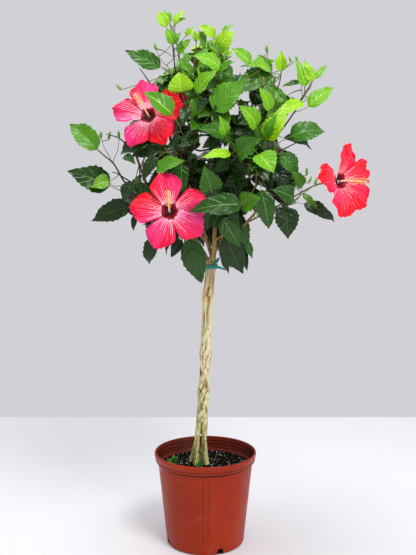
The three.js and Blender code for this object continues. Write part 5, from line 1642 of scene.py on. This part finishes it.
CHIP_FACES = [(0, 4, 2), (2, 4, 1), (1, 4, 3), (3, 4, 0), (2, 5, 0), (1, 5, 2), (3, 5, 1), (0, 5, 3)]
CRUMBS = {"count": 1500, "perlite": 0.26, "dark": 0.85, "pale_size": (1.1, 2.3), "bark_size": (1.8, 6.0)}
CRUMB_LOOKS = [
    ("bark_chip_dark", (7, 6, 6), (19, 16, 13)), ("bark_chip_brown", (32, 24, 17), (70, 54, 38)),
    ("perlite", (206, 202, 192), (238, 236, 228)),
]


def chip(build, centre, size, random, kind):
    """One irregular crumb with eight faces."""
    corners = []
    for axis in range(3):
        for sign in (-1, 1):
            v = np.zeros(3)
            v[axis] = sign * size * lerp(0.45, 1.0, random()) * (0.6 if axis == 2 else 1)
            corners.append(v + (np.array((random(), random(), random())) - 0.5) * size * 0.4)
    spin = random() * math.pi
    turn = np.array([turned(np.array(v), UP, spin) for v in corners]) + centre
    build.add(turn, CHIP_FACES, kind)


def soil_pieces(frame):
    """Crumbs of bark and perlite on the soil, whose own solid stays."""
    soil = frame["nodes"]["soil"]
    soil.data.materials.clear()
    soil.data.materials.append(potting_mix())
    random = seeded(77)
    build = Build()
    inner = POT["top"] - POT["wall"] - 7
    for _ in range(CRUMBS["count"]):
        radius = inner * math.sqrt(random())
        angle = random() * 2 * math.pi
        white = random() < CRUMBS["perlite"]
        size = lerp(*CRUMBS["pale_size"], random()) if white else lerp(*CRUMBS["bark_size"], random() ** 2)
        dish = SOIL_DISH * (radius / inner) ** 3
        centre = np.array((radius * math.cos(angle), radius * math.sin(angle), SOIL_TOP - dish + size * 0.15))
        chip(build, centre, size, random, 2 if white else (0 if random() < CRUMBS["dark"] else 1))
    kinds = [grain_kind(name, rgb(*dark), rgb(*light)) for name, dark, light in CRUMB_LOOKS]
    dress(build.piece("soil_crumbs", kinds, smooth=False), "potting_mix")


def seedling_piece(materials):
    """Two young plants of a few leaves that stand in the potting mix."""
    build = Build()
    for x, y, spread, seed in SEEDLINGS:
        random = seeded(seed)
        root = np.array((x, y, SOIL_TOP - 2.0))
        for k in range(4):
            around = GOLDEN * k + random()
            way = unit(np.array((math.cos(around), math.sin(around) * 0.5, 1.1)))
            base = root + UP * lerp(4, 9, random())
            face = unit(UP * 0.5 + LIGHT)
            face = unit(face - way * (face @ way))
            grid = leaf_points(base, way, face, spread, 0.6, 0.2, random() * 6, 0.42)
            build.add(grid, LEAF_FACES, leaf_kinds(0.5), LEAF_UV)
            tube(build, [root, base, grid[0, 3:5].mean(0)], (0.7, 0.5, 0.4), 5, len(LEAF_COLOURS) + 1)
    dress(build.piece("seedlings", materials), "leaf")


# The tie: its section as (out, up), its underside, its sides, and its tails as (right, up, half width).
TIE_SECTION = [
    (0.4, 0.6), (0.2, 2.0), (0.5, 4.4), (0.2, 7.0), (0.4, 8.6), (1.6, 8.8), (2.0, 7.2), (1.5, 4.5),
    (2.0, 1.8), (1.6, 0.3),
]
TIE = {"low": 637, "sides": 64, "knot": 642}
TIE_TAILS = [
    ([(0, 0, 0.5), (5, 5, 3.2), (9.5, 11, 4.0), (13.5, 16.5, 3.2), (18, 22, 0.6)], 1.0),
    ([(-3, -1, 2.6), (8, -0.5, 2.9), (17, -1.5, 2.7), (25, -4.5, 2.3), (32, -7, 1.2)], -0.6),
]
TAIL_SECTION = ((-1, 0.2), (-0.5, -0.1), (0, -0.6), (0.5, -0.1), (1, 0.2), (0.5, 0.7), (-0.5, 0.7))
TAIL_STEPS = 12


def tie_plastic():
    finish = Finish("tie_plastic", rgb(22, 140, 122), 0.42)
    uneven = finish.noise(120)
    finish.colour(finish.ramp(uneven, [(0.35, rgb(16, 134, 120)), (0.6, rgb(48, 176, 158))]))
    finish.bump(finish.noise(300, stretch=(1, 1, 0.2)), 0.4, 0.001)
    return finish.material


def tie_piece():
    middle = trunk_middle(STEM["tie_height"])
    stem = stem_radius(STEM["tie_height"])
    radius = STEM["slot"] * math.sqrt(2) * stem / STEM["low"] + stem
    build = Build()
    rings = []
    for k in range(TIE["sides"]):
        a = 2 * math.pi * k / TIE["sides"]
        out = np.array((math.cos(a), math.sin(a), 0))
        ripple = 0.25 * math.sin(4 * a)
        rings.append([middle * (1, 1, 0) + out * (radius + r + ripple)
                      + UP * (TIE["low"] + z + 0.5 * math.sin(a * 3)) for r, z in TIE_SECTION])
    count = TIE["sides"] * len(TIE_SECTION)
    around = grid_faces(TIE["sides"] + 1, len(TIE_SECTION), closed=True)
    build.add(rings, [[corner % count for corner in face] for face in around])
    front = middle + np.array((2, -radius - 1.6, 0)) - UP * (STEM["tie_height"] - TIE["knot"])
    for outline, curl in TIE_TAILS:
        tie_strip(build, front, outline, curl)
    return dress(build.piece("tie_strip", [tie_plastic()]), "tie_plastic", "tie")


def tie_strip(build, front, outline, curl):
    """A flat tail of the tie with a raised rib, along its outline."""
    rows = []
    line = Curve([(x, 0, z) for x, z, _ in outline])
    shares = np.linspace(0, 1, TAIL_STEPS + 1)
    widths = np.interp(shares, np.linspace(0, 1, len(outline)), [w for _, _, w in outline])
    for k, width in enumerate(widths):
        share = k / TAIL_STEPS
        p, way = line.at(share), line.way(share)
        side = np.cross(way, (0, 1, 0))
        back = np.array((0, curl * math.sin(share * 2.4) * 2, 0))
        rows.append([p + side * width * u + back + np.array((0, depth, 0)) for u, depth in TAIL_SECTION])
    around = len(TAIL_SECTION)
    first_cap = tuple(range(around - 1, -1, -1))
    last_cap = tuple(range(TAIL_STEPS * around, (TAIL_STEPS + 1) * around))
    faces = grid_faces(TAIL_STEPS + 1, around, closed=True) + [first_cap, last_cap]
    build.add(np.array(rows) + front, faces)


# ---------------------------------------------------------------- stage

CAMERA = {"place": (0.0062, -1.804, 0.802), "down": 5.87, "lens": 51.89, "sensor": 36}
FLOOR = {"half": 3500, "wall": 1037, "top": -0.4}
# Lamps: name, place, size and energy; all aim at one spot.
LAMPS = [
    ("key", (0.9, -1.8, 2.8), 0.9, 52),
    ("fill", (1.9, -1.7, 1.2), 1.4, 10),
    ("top", (-0.4, 0.3, 2.9), 1.2, 26),
]
LAMP_AIM = (0, 0, 0.75)


def lay_floor():
    half, wall, top = FLOOR["half"], FLOOR["wall"], FLOOR["top"]
    build = Build()
    build.add([(-half, -half, top), (half, -half, top), (half, wall, top), (-half, wall, top)], [range(4)])
    finish = Finish("floor", rgb(232, 232, 234), 0.7, 0.3)
    finish.rough(finish.noise(3), 0.6, 0.75)
    build.piece("floor", [finish.material])


def hang_lamp(name, place, size, energy):
    lamp = bpy.data.lights.new(name, "AREA")
    lamp.size = size
    lamp.energy = energy
    obj = bpy.data.objects.new(name, lamp)
    obj.location = place
    aim = Vector(LAMP_AIM) - Vector(place)
    obj.rotation_euler = aim.to_track_quat("-Z", "Y").to_euler()
    bpy.context.scene.collection.objects.link(obj)


def set_camera():
    camera = bpy.data.cameras.new("camera")
    camera.sensor_width = CAMERA["sensor"]
    camera.lens = CAMERA["lens"]
    camera.clip_start, camera.clip_end = 0.05, 30
    seat = bpy.data.objects.new("camera", camera)
    seat.location = CAMERA["place"]
    seat.rotation_euler = (math.radians(90 - CAMERA["down"]), 0, 0)
    bpy.context.scene.collection.objects.link(seat)
    bpy.context.scene.camera = seat


def stage():
    """A plain pale floor, soft studio light and the camera."""
    lay_floor()
    world = bpy.data.worlds.new("studio")
    world.use_nodes = True
    background = world.node_tree.nodes["Background"]
    background.inputs[0].default_value = rgb(214, 213, 218)
    background.inputs[1].default_value = 0.95
    bpy.context.scene.world = world
    for lamp in LAMPS:
        hang_lamp(*lamp)
    set_camera()
    bpy.context.scene.view_settings.view_transform = "Standard"


# ---------------------------------------------------------------- the whole

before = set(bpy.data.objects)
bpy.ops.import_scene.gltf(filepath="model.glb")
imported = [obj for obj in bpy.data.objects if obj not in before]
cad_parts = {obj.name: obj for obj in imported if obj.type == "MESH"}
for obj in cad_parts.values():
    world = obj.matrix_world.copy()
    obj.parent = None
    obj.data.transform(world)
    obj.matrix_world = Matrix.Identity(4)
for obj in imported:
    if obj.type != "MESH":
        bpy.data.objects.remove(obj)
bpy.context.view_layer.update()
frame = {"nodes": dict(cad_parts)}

stage()
limbs = make_limbs()
pot_piece()
soil_pieces(frame)
stem_and_bough_pieces(limbs)
tie_piece()
bloom_pieces(limbs)
blades = leaf_materials()
seedling_piece(blades)
crown_pieces(limbs, blades)
